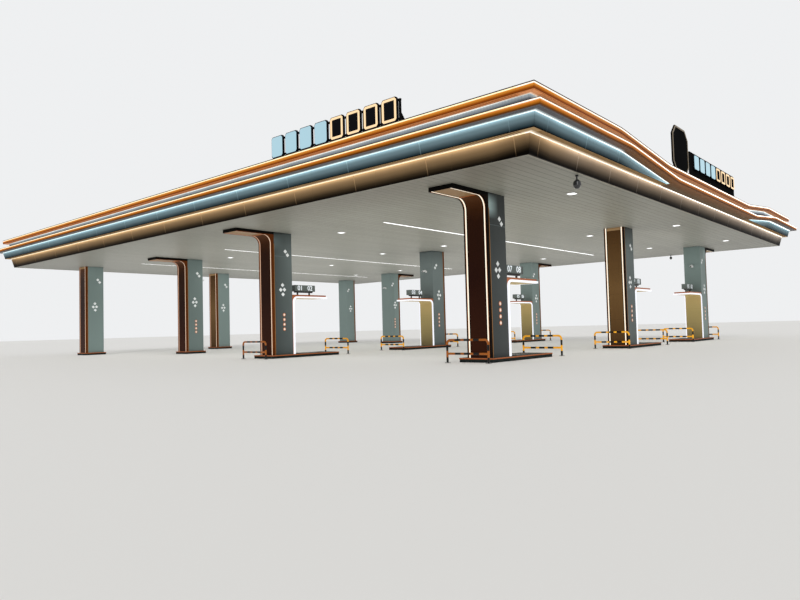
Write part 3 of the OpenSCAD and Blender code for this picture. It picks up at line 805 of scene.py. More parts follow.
def ribs(near, far, top, sizes, level=False):
    """Ribs across the underside of a band, and their placings."""
    for side in range(4):
        half, depth = side_halves(side)
        count = int(half / sizes.rib_pitch)
        places = [number * sizes.rib_pitch for number in range(-count, count + 1)]
        if level and side % 2:
            places = [s for s in places if abs(s) >= BLUE_CUT + 0.03]
        wide = sizes.rib_width / 2
        part = blocks(((-wide, -depth - far, -0.008), (wide, -depth - near, 0.002)))
        yield part, [side_frame(side) @ at(s, 0, top - (0.0 if level else dip(side, s))) for s in places]


def seams(foot, head, sizes, first_long, first_short, gap):
    """Cover strips that lean with a band's face over the joints of its panels, and their placings."""
    for side in range(4):
        depth = side_halves(side)[1]
        part = blocks(((-sizes.seam_width / 2, -depth - foot[0] - 0.004, foot[1] + 0.002),
                       (sizes.seam_width / 2, -depth - foot[0] + 0.012, head[1])))
        top = [vert for vert in part.verts if vert.co.z > (foot[1] + head[1]) / 2]
        bmesh.ops.translate(part, vec=(0, foot[0] - head[0], 0), verts=top)
        first, pitch = (first_short, sizes.side_pitch) if side % 2 else (first_long, sizes.seam_pitch)
        places = seam_places(side, first, pitch)
        if gap and side % 2:
            places = [s for s in places if abs(s) >= gap + 0.1 and dip(side, s) <= 0.01]
        yield part, [side_frame(side) @ at(s, 0, 0) for s in places]


class CANOPY_OT_fascia(bpy.types.Operator):
    """The stepped bands of the fascia with their ribs, planks, cover strips and flashings"""

    bl_idname = "canopy.fascia"
    bl_label = "Fascia"

    def execute(self, context):
        colours = context.scene.canopy_colours
        sizes = context.scene.canopy_fascia
        orange, warm, blue, skirt = colours.orange, colours.warm, colours.blue, colours.skirt
        # Darker tints that the bands' ramps fall to at their feet: painted shade.
        foot_shade_orange = blended(0x97440A, orange, 0.1)
        deep = blended(orange, 0xC46400, 0.5)
        foot_shade_blue = blended(blue, 0x4D97B4, 0.35)
        # Each band's ramp paints in the light of its lit line: bright at the top, painted shade down to its
        # foot, with a painted glow.
        dress(band(
            "orange_band_upper", UPPER_FOOT, UPPER_HEIGHT,
            shades(foot_shade_orange, (0.0, 0.5), (0.22, 1.0)) + shades(orange, (0.45, 0.84), (0.65, 1.02))
            + [(0.85, blended(orange, warm, 0.2)), (1.0, blended(orange, warm, 0.62))],
            glow=0.4, calm=0.1, dim=0.26, corner_shade=0.06), "upper_band")
        dress(band(
            "orange_band_lower", BLUE_HEAD, LOWER_HEIGHT, shades(deep, (0.0, 0.14), (0.22, 0.5), (0.55, 1.0))
            + [(0.8, blended(deep, warm, 0.16)), (1.0, blended(deep, warm, 0.62))],
            glow=0.4, calm=0.06, dim=0.12, corner_shade=-0.05), "lower_band")
        dress(band(
            "pale_ribbed_band", LOWER_HEAD, 0.42,
            [(0.0, 0x202428), (0.5, 0x32383E), (0.66, 0x4F5862), (0.74, 0x727F89), (0.83, 0x7F8C96),
             (0.9, 0x8EA2AC), (0.955, 0xD0E0E8), (1.0, 0xF0FAFC)],
            ribs=0.1, glow=0.8, start=-0.6, dim=-0.5, corner_shade=0.06), "pale_band")
        dress(band(
            "blue_band_paint", BLUE_FOOT, BLUE_HEIGHT, shades(foot_shade_blue, (0.0, 0.015), (0.1, 0.145))
            + shades(blue, (0.24, 0.33), (0.37, 0.6), (0.5, 0.95), (0.64, 1.11), (0.77, 1.48), (0.9, 2.1),
                     (1.0, 3.0)),
            glow=0.5, corner_shade=0.03), "blue_band")
        dress(band(
            "champagne_skirt", CEILING, SKIRT_HEIGHT,
            shades(skirt, (0.0, 0.005), (0.1, 0.03), (0.25, 0.11), (0.4, 0.29), (0.52, 0.49), (0.65, 0.705),
                   (0.77, 0.98), (0.9, 1.6), (1.0, 2.6)),
            glow=0.45, wavy=False, calm=0.4, dim=-0.08), "skirt_band")
        grey = grey_soffit()
        dress(brown_soffit("brown_soffit", (0xB07440, 0xC08E68, 0xCCAE92), 0.5, 0.32), "upper_band_underside")
        dress(tan_soffit("tan_soffit", 0x9C805C, 0.34), "blue_band_underside")
        dress(grey, "lower_band_underside")

        # The ribs carry the soffits' painted light and glow.
        piece("upper_band_ribs", brown_soffit("brown_rib", (0xA87048, 0xA87850, 0xB08C70), 0.0, 0.3),
              ribs(0.30, 0.476, UPPER_FOOT - 0.014, sizes))
        piece("blue_band_ribs", tan_soffit("tan_rib", 0x7C6240, 0.25),
              ribs(0.152, 0.414, BLUE_FOOT - 0.014, sizes, True))
        planks = []
        foot, head = BLUE_HEAD - 0.02, BLUE_HEAD - 0.013
        for side in range(4):
            planks += [run(side, rectangle(near, far, foot, head))
                       for near, far in ((0.530, 0.612), (0.624, 0.706), (0.718, 0.808))]
            if side % 2:
                planks += [run(side, rectangle(near, far, foot, head), -BLUE_CUT, BLUE_CUT)
                           for near, far in ((0.172, 0.284), (0.296, 0.402), (0.414, 0.518))]
        piece("lower_band_planks", grey, planks)

        # The drip edges glow a little: painted light from the lit lines.
        for name, near, foot, colour in (("upper_drip_edge", 0.477, UPPER_FOOT, 0xB4784A),
                                         ("lower_drip_edge", 0.812, BLUE_HEAD, 0x5A3A24)):
            piece(name, painted(name, colour, 0.45, 0.0, gloss=0.05, glow=0.3),
                  round_roof(near, near + 0.036, foot - 0.021, foot - 0.0145))
        section = rectangle(0.398, 0.4215, BLUE_FOOT - 0.009, BLUE_FOOT + 0.001)
        spans = (((None, None),), ((None, -BLUE_CUT), (BLUE_CUT, None)))
        flashing = [run(side, section, start, end, True)
                    for side in range(4) for start, end in spans[side % 2]]
        piece("blue_drip_edge", painted("blue_edge", 0x0A0F11, 0.45, 0.0, gloss=0.0), flashing)

        # The cover strips carry their bands' painted light and shade.
        blue_seam = band("blue_seam", BLUE_FOOT, BLUE_HEIGHT,
                         shades(blue, (0.0, 0.2), (0.3, 0.85), (0.6, 1.6), (1.0, 3.0)), glow=0.4)
        skirt_seam = band(
            "skirt_seam", CEILING, SKIRT_HEIGHT, shades(skirt, (0.0, 0.06), (0.4, 0.6), (1.0, 2.0)),
            wavy=False, calm=0.6)
        piece("blue_band_seams", blue_seam,
              seams((0.42, BLUE_FOOT), (0.507, BLUE_HEAD - LIGHT_HEIGHT), sizes, 0.30, 0.25, BLUE_CUT))
        piece("skirt_seams", skirt_seam,
              seams((0.02, CEILING), (0.14, BLUE_FOOT - LIGHT_HEIGHT), sizes, 0.364, 0.424, 0.0))
        return {"FINISHED"}


class CANOPY_OT_light_lines(bpy.types.Operator):
    """The lit lines of the fascia, the column panels and the arches"""

    bl_idname = "canopy.light_lines"
    bl_label = "Lit lines"

    def execute(self, context):
        warm = context.scene.canopy_colours.warm
        amber = blended(warm, 0xFFDF9A, 0.4)
        dress(lit("amber_line", amber, 1.35, short=0xFFEEDF), "upper_light_line", "lower_light_line")
        dress(lit("warm_line", warm, 1.3, short=0xFFF8EE), "skirt_light_line")
        dress(lit("cool_line", 0xDDF4F6, 1.4, short=0xF0FBFC), "blue_light_line")
        dress(self.panel_line(), "panel_light_lines")
        dress(lit("arch_line", 0xF6F8FF, 1.05), "arch_light_lines")
        return {"FINISHED"}

    def panel_line(self):
        """Warm diffuser, brightest on the right line of columns and deepest on each panel's left edge."""
        finish, x, y, z = mapped("panel_line")
        left = 0.0
        for line in lines(COLUMNS):
            left = (line - x).above() * (x - (line - 1.0)).above() + left
        other = (RIGHT_LINE - x).above()
        warm = 0xFFF3DC
        colour = finish.mix(warm, (other * 0.5, 0xE0A884), (other * left * 0.6, 0x9C5C38))
        return diffuser(finish, warm, colour, (x + y + z).line(0.5, 0.06) * 0.07 + other * 0.16, 1.15)


class CANOPY_OT_roof(bpy.types.Operator):
    """The roof's sheets, gutters and wall, with coping, fixings and outlets"""

    bl_idname = "canopy.roof"
    bl_label = "Roof"

    def execute(self, context):
        dress(self.sheets(), "roof_sheets", "ridge_cap")
        dress(painted("gutter_zinc", 0x8A8E90, 0.45, 0.6, 0.15, 1.5), "roof_gutters")
        dress(painted("girder_primer", 0x7A6A62, 0.7, 0.0, 0.12), "roof_frame")
        dress(self.wall(), "parapet_wall")

        cover = painted("coping_grey", 0x8F8A84, 0.4, 0.5, 0.1)
        piece("fascia_coping", cover, round_roof(-0.27, 0.532, ROOF_TOP, ROOF_TOP + 0.006))
        piece("fascia_lips", painted("lip_bronze", 0x2B1A16, 0.5, 0.0, gloss=0.2),
              round_roof(0.508, 0.534, ROOF_TOP + 0.006, ROOF_TOP + 0.03)
              + round_roof(0.78, 0.863, LOWER_HEAD, LOWER_HEAD + 0.018))
        laps = []
        for side in range(4):
            depth = side_halves(side)[1]
            frame = side_frame(side)
            places = [frame @ at(s, 0, ROOF_TOP - dip(side, s)) for s in seam_places(side, 1.5, 3.0)]
            laps.append((blocks(((-0.05, -depth - 0.5, 0.005), (0.05, -depth + 0.268, 0.010))), places))
        piece("coping_laps", cover, laps)

        low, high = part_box("ridge_cap")
        first_rib, rib_pitch = -18.5, 0.74
        slope = 0.23 / 15.45
        places = [at(first_rib + (rib + 0.5) * rib_pitch, way * row, high.z - 0.004 - slope * row)
                  for rib in range(50) for row in (1.6, 4.4, 7.2, 10.0, 12.8) for way in (-1, 1)]
        piece("sheet_fixings", painted("fixing_grey", 0xA6A8A8, 0.35, 0.7),
              [(pegs((0.026, 0.0, 0.006, 8), (0.016, 0.006, 0.016, 6, 0.011)), places)])
        places = [at(x, (low.y + high.y) / 2, high.z) for low, high in solids("roof_gutters")
                  for x in (-14.8, -5.0, 5.0, 14.8)]
        piece("gutter_outlets", painted("outlet_grey", 0x5C6062, 0.5, 0.4),
              [(pegs((0.11, 0.0, 0.012, 24), (0.075, 0.012, 0.05, 24, 0.045)), places)])
        return {"FINISHED"}

    def sheets(self):
        """Ribbed roof sheet with laps, dust in the pans and streaks down the fall."""
        finish, x, y, z = mapped("roof_sheet")
        streaks = finish.noise(1.4, 4.0, (1.0, 0.12, 1.0))
        dust = finish.noise(0.5, 5.0)
        lap = abs(y).line(7.4, 0.02, 0.25)
        base = finish.mix(finish.ramp(streaks, [(0.3, 0x989C9E), (0.7, 0xA6AAAC)]),
                          ((dust * 1.6 - 0.7).clamped() * 0.25, 0x979083), (lap * 0.5, 0x4F5355))
        return finish.surface(base, 0.36 + dust * 0.2, bump=(streaks * 0.4 + lap, 0.004, 0.5), metallic=0.55)

    def wall(self):
        """Back of the fascia, in upright sheets."""
        finish, x, y, z = mapped("parapet_sheet")
        dust = finish.noise(1.0, 5.0)
        joints = (x + y).line(1.2, 0.012)
        base = finish.mix(finish.ramp(dust, [(0.3, 0x77797A), (0.7, 0x8C8E8F)]), (joints * 0.6, 0x4A4C4D))
        return finish.surface(base, 0.5 + dust * 0.15, bump=(joints + dust * 0.3, 0.005, 0.6), metallic=0.2)


def bent_bar(column, x0, x1, proud):
    """A bar up a column's panel that goes round the bend and out along the arm where there is one."""
    part = bmesh.new()
    corners = ((x0, 0.0), (x1, 0.0), (x1, proud), (x0, proud))
    face = part.faces.new([part.verts.new((x, PANEL_FRONT + out, KERB)) for x, out in corners])
    if column.arm:
        bend_foot = ARM_FOOT - BEND_RADIUS
        face = lengthened(part, face, (0, 0, bend_foot - KERB))
        made = bmesh.ops.spin(
            part, geom=[face] + list(face.edges) + list(face.verts), axis=(1, 0, 0), angle=-math.pi / 2,
            cent=(0, PANEL_FRONT + BEND_RADIUS, bend_foot), steps=12, use_merge=False)
        face = [item for item in made["geom_last"] if isinstance(item, bmesh.types.BMFace)][0]
        lengthened(part, face, (0, ARM_END - PANEL_FRONT - BEND_RADIUS, 0))
    else:
        lengthened(part, face, (0, 0, CEILING - KERB))
    return part, [at_column(column)]


def on_sides(part, sides, places):
    """A part made with its face up, on columns' sides at distances towards the panel and heights."""
    return part, [at_column(column) @ at(way * COLUMN_HALF_X, out, up) @ turn(way * 90, "Y")
                  for column, way in sides for out, up in places]


class CANOPY_OT_columns(bpy.types.Operator):
    """Column cladding, the lit panels with their arms, and the small plates on the columns' sides"""

    bl_idname = "canopy.columns"
    bl_label = "Columns"

    def execute(self, context):
        colours = context.scene.canopy_colours
        fittings = context.scene.canopy_fittings
        black = painted("panel_black", 0x0B0A09, 0.35, 0.0, 0.15, gloss=0.02)
        copper = painted("copper_trim", colours.copper, 0.3, 0.45)
        dress(self.cladding(colours.cladding), "columns")
        dress(black, "panel_arms")
        dress(self.umber("panel_umber", 0x1B110B), "panel_boxes", "panel_bends")
        dress(self.face(), "panel_faces")
        dress(painted("bronze_trim", 0xA8743C, 0.3, 0.6), "panel_trims")

        sides = [(column, way) for column in COLUMNS for way in (-1, 1)]
        piece("panel_rims", painted("rim_copper", 0xA8622E, 0.35, 0.0, gloss=0.1),
              [bent_bar(column, way * 0.414, way * 0.429, 0.027) for column, way in sides])
        # The inner beads are dark bars that stand in for the shadow gap beside the panel face; the outer
        # beads are the panel's black edge.
        piece("panel_edge_beads", self.umber("bead_umber", 0x0B0A09),
              [bent_bar(column, way * near, way * far, proud) for column, way in sides
               for near, far, proud in ((0.334, 0.362, 0.020), (0.442, 0.484, 0.030))])

        arms = [at_column(column) for column in COLUMNS if column.arm]
        trim_y, trim_z = 1.055, ARM_FOOT - 0.024
        bar = blocks(((-0.348, trim_y - 0.008, trim_z - 0.015), (0.348, trim_y + 0.008, trim_z + 0.015)))
        piece("arm_cross_trims", copper, [(bar, arms)])
        cap = blocks(((-COLUMN_HALF_X, ARM_END - 0.001, ARM_FOOT - 0.03),
                      (COLUMN_HALF_X, ARM_END + 0.012, CEILING - 0.004)))
        piece("arm_end_caps", black, [(cap, arms)], 0.003)

        diamond = pegs((fittings.motif_size / 2, 0.0, 0.010, 4, fittings.motif_size * 0.42))
        bmesh.ops.scale(diamond, vec=(1.0, 1.05, 1.0), verts=diamond.verts)
        motif = ((-0.145, 4.94), (-0.27, 4.78), (0.05, 3.365), (0.16, 3.145), (-0.055, 3.155), (0.03, 2.935))
        piece("column_diamonds", painted("diamond_white", 0xE4E8E8, 0.3),
              [on_sides(diamond, sides, motif)])
        marked = [(column, way) for column, way in sides if column.arm or column.arch]
        places = [(-0.015, 1.99 - 0.222 * number) for number in range(4)]
        piece("column_discs", copper,
              [on_sides(pegs((fittings.disc_size / 2, 0.0, 0.008, 28)), marked, places)], 0.002)
        piece("disc_centres", painted("disc_enamel", 0xF0E0D0, 0.3),
              [on_sides(pegs((fittings.disc_size * 0.32, 0.008, 0.011, 24)), marked, places)])
        return {"FINISHED"}

    def cladding(self, colour):
        """Satin grey-green cladding with painted light and shade, lighter towards the lamps, with faint marks
        of handling.
        """
        finish, x, y, z = mapped("column_cladding")
        rise = z.rise(KERB, CEILING - KERB)
        cloud = finish.noise(1.1, 5.0)
        right = (x - RIGHT_LINE).above()
        # Painted shade on the near column, in the right line towards the front.
        dim = x.rise(RIGHT_LINE, 4.0) * y.fall(-7.0, 3.0) * (abs(rise - 0.45) * 0.5 + 0.765)
        deep = shade(colour, 0.22)
        shadows = [((abs(y) - (row - 0.5)).clamped() * (row + 0.55 - abs(y)).above() * 0.62, deep)
                   for row in (9.0, 11.78)]
        # A painted highlight from the lamps near the tops of the panels' edges.
        glow = ((0.44 - abs(z - 5.34)) * 3.0).clamped() * ((abs(y) - 11.7) * 1.8).clamped()
        glow = glow * (right * 0.85 + 0.15)
        # Painted light on the far columns.
        far = y.rise(4.0, 6.0).most(x.fall(-4.0, 6.0))
        # A painted highlight along the groove.
        seam = (1.0 - abs(z - 4.696) / 0.02).clamped()
        scuffs = (finish.noise(9.0, 6.0, (1.0, 1.0, 0.35)) * 2.4 - 1.5).clamped()
        scuffs = scuffs * (1.0 - rise * 2.5).clamped()
        # The ramp paints light rising towards the lamps and shade under the ceiling; the layers add painted
        # shade on the near column, painted shadows beside the panels and at the tops, painted light on the
        # left line's middle columns and painted shade on the right line's middle column; the scuffs are real
        # wear.
        base = finish.mix(
            finish.ramp((rise + (cloud - 0.5) * 0.14).clamped(), shades(
                colour, (0.0, 0.6), (0.3, 0.78), (0.6, 1.0), (0.8, 1.18), (0.9, 0.9), (0.975, 0.55),
                (1.0, 0.1))),
            (dim.clamped(), shade(blended(colour, 0x5A5A5A, 0.5), 0.36)), *shadows,
            (rise.rise(0.84, 0.16) * (right * 0.6 + 0.1), shade(colour, 0.2)),
            (glow * 0.85, blended(shade(colour, 2.4), 0xB8D4D4, 0.5)),
            (far * 0.6, blended(shade(colour, 1.8), 0x86A098, 0.4)),
            (x.fall(RIGHT_LINE, 5.0) * (y + 6.0).above() * 0.16, shade(colour, 2.2)),
            (x.rise(RIGHT_LINE, 5.0) * (4.0 - abs(y)).above() * 0.3, shade(colour, 0.5)),
            (seam * 0.6, shade(colour, 1.6)), (scuffs * 0.35, shade(colour, 0.45)))
        return finish.surface(base, 0.38 + cloud * 0.14, 0.2, (cloud, 0.006, 0.3))

    def umber(self, name, colour):
        """Near-black sheet, painted warm brown as painted light on all but the right line of columns."""
        finish, x, y, z = mapped(name)
        cloud = finish.noise(0.8, 5.0)
        # Warm brown on the other lines of columns: painted light.
        base = finish.mix(colour, ((RIGHT_LINE - x).above(), 0x5E2F10), (cloud * 0.3, 0x0E0805))
        return finish.surface(base, 0.35 + cloud * 0.1, 0.02, (cloud, 0.004, 0.35))

    def face(self):
        """Glossy dark face with painted light: lighter towards the arm and at its foot than in its middle,
        painted tan on the middle row of columns, and pale tan under the arm.
        """
        finish, x, y, z = mapped("brown_panel_face")
        cloud = finish.noise(0.9, 4.0)
        tone = (z.rise(KERB, ARM_FOOT - KERB) + (cloud - 0.5) * 0.1).clamped()
        # The ramp's changes with height are painted light.
        dark = finish.ramp(tone, [(0.0, 0x32180D), (0.5, 0x240F08), (0.85, 0x2E160A), (0.97, 0x4A2A14),
                                  (1.0, 0x55331A)])
        light = finish.ramp(tone, [(0.0, 0x4A341D), (0.5, 0x6B5030), (1.0, 0x4A321A)])
        joint = z.line(1.22, 0.004, 0.15) * (ARM_FOOT - 0.5 - z).above()
        # Tan on the middle row of columns is painted light.
        base = finish.mix(
            dark, (((6.0 - abs(y)) * 0.5).clamped(), light), (z.rise(ARM_FOOT - 0.024, 0.01), 0x9A7C58),
            (joint * 0.7, 0x160A05))
        return finish.surface(base, 0.3 + cloud * 0.1, 0.03, (cloud + joint * 0.3, 0.004, 0.25))


class CANOPY_OT_arches(bpy.types.Operator):
    """The low lit arches over the fuelling places"""

    bl_idname = "canopy.arches"
    bl_label = "Arches"

    def execute(self, context):
        copper = context.scene.canopy_colours.copper
        frame = painted("arch_copper", shade(copper, 0.82), 0.32, 0.45)
        dress(frame, "arch_posts", "arch_bends", "arch_arms")
        dress(self.face(), "arch_faces")
        lid = blocks(((-0.452, 0.0, 2.929), (0.452, 2.146, 2.936)),
                     *(((x, 0.0, 2.908), (x + 0.008, 2.146, 2.936)) for x in (-0.46, 0.452)))
        places = [at_column(column, True) @ at(0, ARCH_AXIS, 0) for column in COLUMNS if column.arch]
        cover = painted("arch_lid", shade(copper, 0.62), 0.35, 0.45)
        piece("arch_lids", cover, [(lid, places)])
        return {"FINISHED"}

    def face(self):
        """Satin tan sheet with painted light, paler towards the top, with joints."""
        finish, x, y, z = mapped("arch_tan_face")
        cloud = finish.noise(1.6, 4.0)
        joint = z.line(0.9, 0.004, 0.15) * (2.6 - z).above()
        tone = (z / 2.9 + (cloud - 0.5) * 0.1).clamped()
        base = finish.mix(finish.ramp(tone, [(0.0, 0x86764F), (0.6, 0xA3925F), (1.0, 0xC2AB74)]),
                          (joint * 0.6, 0x6B5228))
        return finish.surface(base, 0.34 + cloud * 0.12, 0.2, (cloud, 0.004, 0.3))


class CANOPY_OT_number_boxes(bpy.types.Operator):
    """Number boxes over the arches with plain bay numbers"""

    bl_idname = "canopy.number_boxes"
    bl_label = "Number boxes"

    def execute(self, context):
        fittings = context.scene.canopy_fittings
        dress(painted("number_box_grey", 0x69726F, 0.42, gloss=0.3), "number_boxes")
        dress(painted("rail_black", 0x161616, 0.35), "number_box_rails")
        numbers = []
        screws = []
        for box, (low, high) in enumerate(solids("number_boxes")):
            middle = (low + high) / 2
            for way in (-1, 1):
                for half in (0, 1):
                    text = self.raised(f"{fittings.first_bay + 2 * box + half:02d}", fittings.numeral)
                    place = at(middle.x + way * 0.139, middle.y + way * (half - 0.5) * 0.62, middle.z)
                    numbers.append((text, [place @ turn(way * 90, "Z") @ turn(90, "X")]))
                screws += [at(low.x if way < 0 else high.x, y, z) @ turn(way * 90, "Y")
                           for y in (low.y + 0.012, high.y - 0.012) for z in (low.z + 0.012, high.z - 0.012)]
        piece("bay_numbers", lit("lit_numeral", 0xF4FBFF, 1.05), numbers)
        piece("number_box_screws", painted("box_screw", 0x8F9492, 0.3, 0.8),
              [(pegs((0.010, 0.0, 0.006, 10)), screws)])
        return {"FINISHED"}

    def raised(self, text, size):
        """A part of raised numerals, centred, with their face up."""
        curve = bpy.data.curves.new("numeral", "FONT")
        curve.body = text
        curve.size = size * 1.3
        curve.extrude = 0.004
        curve.resolution_u = 3
        curve.align_x = "CENTER"
        curve.align_y = "CENTER"
        holder = placed("numeral", curve)
        bpy.context.view_layer.update()
        mesh = bpy.data.meshes.new_from_object(holder.evaluated_get(bpy.context.evaluated_depsgraph_get()))
        part = bmesh.new()
        part.from_mesh(mesh)
        bpy.data.meshes.remove(mesh)
        bpy.data.objects.remove(holder)
        bpy.data.curves.remove(curve)
        return part


class CANOPY_OT_islands(bpy.types.Operator):
    """Fuelling islands, plinths, base plates and guard hoops"""

    bl_idname = "canopy.islands"
    bl_label = "Islands and hoops"

    def execute(self, context):
        colours = context.scene.canopy_colours
        dress(self.stone(), "fuelling_islands", "column_plinths")
        # The kerb trims are a darker copy of the copper: painted shade.
        dress(painted("kerb_copper", shade(colours.copper, 0.56), 0.4, 0.1, gloss=0.15), "kerb_trims")
        dress(self.checker_plate(), "dispenser_base_plates")
        dress(self.stripes(colours.yellow), "guard_hoops")

        bolts = [at(x, y, high.z) for low, high in solids("dispenser_base_plates")
                 for x in (low.x + 0.05, high.x - 0.05)
                 for y in (low.y + 0.07, (low.y + high.y) / 2, high.y - 0.07)]
        feet = [(x, (low.y + high.y) / 2) for low, high in solids("guard_hoops")
                for x in (low.x + 0.075, high.x - 0.075)]
        bolts += [at(x + a, y + b, 0.010) for x, y in feet for a in (-0.055, 0.055) for b in (-0.055, 0.055)]
        piece("anchor_bolts", painted("bolt_steel", 0x8C8E90, 0.35, 0.85),
              [(pegs((0.020, 0.0, 0.003, 16), (0.014, 0.003, 0.014, 6), (0.008, 0.014, 0.024, 10)), bolts)])
        piece("hoop_collars", painted("collar_black", 0x1C1B1A, 0.5),
              [(pegs((0.052, 0.010, 0.022, 24, 0.044)), [at(x, y, 0) for x, y in feet])])
        return {"FINISHED"}

    def stone(self):
        """Dark concrete kerbs with joints, chips and a paler top."""
        finish, x, y, z = mapped("kerb_concrete")
        coarse = finish.noise(2.2, 6.0)
        fine = finish.noise(60.0, 3.0)
        joints = y.line(1.0, 0.008, 0.4)
        base = finish.mix(finish.ramp(coarse, [(0.3, 0x111716), (0.7, 0x1F2624)]),
                          ((fine * 2.0 - 1.1).clamped() * 0.3, 0x5A5E59),
                          # The top face is painted paler.
                          ((z - KERB + 0.004).above() * 0.5, 0x66645E), (joints * 0.7, 0x232322))
        return finish.surface(base, 0.75 + fine * 0.2, 0.1, (fine * 0.4 + coarse - joints, 0.008, 0.6))

    def checker_plate(self):
        """Galvanised plate with raised studs."""
        finish, x, y, z = mapped("base_plate")
        studs = (x + y).line(0.03, 0.007) * (x - y).line(0.03, 0.012)
        cloud = finish.noise(8.0, 4.0)
        base = finish.ramp(cloud, [(0.3, 0x6D7072), (0.7, 0x8D9092)])
        return finish.surface(base, 0.36 + cloud * 0.2, bump=(studs + cloud * 0.2, 0.003, 0.8), metallic=0.75)

    def stripes(self, yellow):
        """Yellow and black bands that follow a hoop's tube, worn in places, with painted shade on the hoops
        at the front.
        """
        finish, x, y, z = mapped("hoop_stripes")
        first, *others = lines(column for column in COLUMNS if column.arch)
        away = abs(x - first)
        for line in others:
            away = away.least(abs(x - line))
        bars = (0.118 - away).above().most((0.118 - abs(away - 0.375)).above())
        posts = (away - 0.7).above() * (0.2 - z).above().most((0.1 - abs(z - 0.52)).above())
        wear = (finish.noise(28.0, 6.0) * 3.0 - 1.95).clamped()
        # The front hoops are painted dull orange-brown: painted shade.
        base = finish.mix(yellow, ((-12.9 - y).above() * 0.92, 0x84400F), (bars.most(posts), 0x060505),
                          ((0.0115 - z).above(), 0xA9A79F), (wear * 0.45, 0x8A6A48))
        return finish.surface(base, 0.28 + wear * 0.35, 0.25, (wear, 0.002, 0.4))


class CANOPY_OT_cameras(bpy.types.Operator):
    """Dome cameras and the small cameras on the columns"""

    bl_idname = "canopy.cameras"
    bl_label = "Cameras"

    def execute(self, context):
        dress(painted("dome_black", 0x1D1E20, 0.3), "dome_cameras")
        dress(painted("camera_white", 0xD4D6D5, 0.35), "column_cameras")
        finish = Finish("dark_glass")
        glass = finish.surface(0x0B0D10, 0.06 + finish.noise(30.0, 2.0) * 0.05, coat_weight=0.8)

        bubbles = []
        for low, high in solids("dome_cameras"):
            size = (high.z - low.z) / 0.425
            part = bmesh.new()
            bmesh.ops.create_uvsphere(
                part, u_segments=28, v_segments=16, radius=0.107 * size,
                matrix=at((low.x + high.x) / 2, (low.y + high.y) / 2, CEILING - 0.32 * size))
            sliced(part, (0, 0, CEILING - 0.3205 * size), (0, 0, 1))
            bmesh.ops.holes_fill(part, edges=[edge for edge in part.edges if edge.is_boundary])
            bubbles.append((part, HERE))
        piece("dome_bubbles", glass, bubbles)

        tilt = at(0, ARCH_AXIS + 0.09, 4.625) @ turn(-105, "X")
        places = [at_column(column, True) @ tilt for column in COLUMNS if column.x > -15]
        piece("camera_lenses", glass, [(pegs((0.038, 0.2595, 0.263, 24)), places)])
        hood = pegs((0.054, 0.03, 0.285, 24))
        sliced(hood, (0, 0.012, 0), (0, 1, 0))
        ends = [face for face in hood.faces if abs(face.normal.z) > 0.9]
        bmesh.ops.delete(hood, geom=ends, context="FACES_ONLY")
        bmesh.ops.solidify(hood, geom=hood.faces[:], thickness=0.004)
        piece("camera_hoods", painted("hood_white", 0xE0E1E0, 0.35), [(hood, places)])
        return {"FINISHED"}


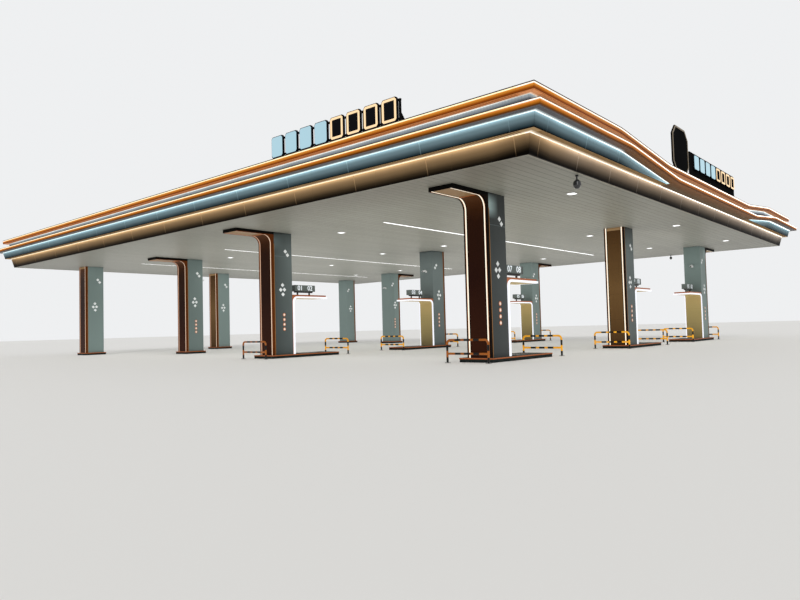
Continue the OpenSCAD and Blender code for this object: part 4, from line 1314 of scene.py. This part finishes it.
class CANOPY_OT_signs(bpy.types.Operator):
    """The blank sign places on the roof's edge"""

    bl_idname = "canopy.signs"
    bl_label = "Sign places"

    def execute(self, context):
        dress(painted("sign_black", 0x141415, 0.5, gloss=0.0), "front_sign_frame", "side_sign_board")
        dress(painted("tile_returns", 0x141417, 0.45, gloss=0.0), "front_sign_tiles", "side_sign_tiles")
        plates = []
        rings = []
        for node, heading in (("front_sign_tiles", 0), ("side_sign_tiles", 90)):
            tiles = solids(node)
            for number, (low, high) in enumerate(tiles):
                size = high - low
                width, height, cut = max(size.x, size.y) - 0.05, size.z - 0.05, 0.06
                front = at(0, -min(size.x, size.y) / 2, 0) @ turn(90, "X")
                place = at(*(low + high) / 2) @ turn(heading, "Z") @ front
                if number < len(tiles) // 2:
                    plates.append((self.cut_plate(width, height, cut), [place]))
                else:
                    rings.append((self.cut_plate(width, height, cut, 0.075), [place]))
        piece("pale_tile_faces", lit("pale_tile_face", 0xA9CCD9, 0.95, 1.0), plates)
        piece("cream_tile_rims", lit("cream_tile_face", 0xFFDCAC, 1.0, 1.0), rings)

        low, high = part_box("side_sign_board")
        place = at(high.x, -3.6, low.z + 0.105 + 0.95) @ turn(90, "Z") @ turn(90, "X")
        piece("plate_rim", painted("plate_bronze", 0x6E5B3C, 0.32, 0.5),
              [(self.cut_plate(1.88, 1.88, 0.372, 0.07), [place])])
        return {"FINISHED"}

    def cut_plate(self, width, height, cut, rim=0.0):
        """A thin plate with cut corners, its face up, or only the rim of such a plate."""
        part = bmesh.new()
        bmesh.ops.create_grid(part, x_segments=1, y_segments=1, size=0.5)
        bmesh.ops.scale(part, vec=(width, height, 1.0), verts=part.verts)
        bmesh.ops.bevel(part, geom=part.verts[:], offset=cut, offset_type="OFFSET", affect="VERTICES",
                        segments=1, profile=0.5, material=-1)
        if rim:
            bmesh.ops.inset_individual(part, faces=part.faces[:], thickness=rim, use_even_offset=True)
            inner = min(part.faces, key=lambda face: max(vert.co.length for vert in face.verts))
            bmesh.ops.delete(part, geom=[inner], context="FACES_ONLY")
        made = bmesh.ops.extrude_face_region(part, geom=part.faces[:])["geom"]
        verts = [item for item in made if isinstance(item, bmesh.types.BMVert)]
        bmesh.ops.translate(part, vec=(0, 0, 0.014), verts=verts)
        return part


class CANOPY_PT_panel(bpy.types.Panel):
    """Lists the canopy's pieces and their settings"""

    bl_idname = "CANOPY_PT_panel"
    bl_label = "Filling station canopy"
    bl_space_type = "VIEW_3D"
    bl_region_type = "UI"
    bl_category = "Canopy"

    def draw(self, context):
        for operator in OPERATORS:
            self.layout.operator(operator.bl_idname)
        for name in GROUPS:
            box = self.layout.box()
            settings = getattr(context.scene, name)
            for key in settings.__annotations__:
                box.prop(settings, key)


GROUPS = {
    "canopy_stage": CANOPY_PG_stage,
    "canopy_fascia": CANOPY_PG_fascia,
    "canopy_colours": CANOPY_PG_colours,
    "canopy_fittings": CANOPY_PG_fittings,
}
OPERATORS = (
    CANOPY_OT_stage,
    CANOPY_OT_ceiling,
    CANOPY_OT_fascia,
    CANOPY_OT_light_lines,
    CANOPY_OT_roof,
    CANOPY_OT_columns,
    CANOPY_OT_arches,
    CANOPY_OT_number_boxes,
    CANOPY_OT_islands,
    CANOPY_OT_cameras,
    CANOPY_OT_signs,
)
CLASSES = (*GROUPS.values(), *OPERATORS, CANOPY_PT_panel)


def register():
    for kind in CLASSES:
        bpy.utils.register_class(kind)
    for name, group in GROUPS.items():
        setattr(bpy.types.Scene, name, PointerProperty(type=group))


def unregister():
    for name in GROUPS:
        delattr(bpy.types.Scene, name)
    for kind in reversed(CLASSES):
        bpy.utils.unregister_class(kind)


def main():
    register()
    bpy.ops.canopy.stage()
    bpy.ops.canopy.ceiling()
    bpy.ops.canopy.fascia()
    bpy.ops.canopy.light_lines()
    bpy.ops.canopy.roof()
    bpy.ops.canopy.columns()
    bpy.ops.canopy.arches()
    bpy.ops.canopy.number_boxes()
    bpy.ops.canopy.islands()
    bpy.ops.canopy.cameras()
    bpy.ops.canopy.signs()


if __name__ == "__main__":
    main()
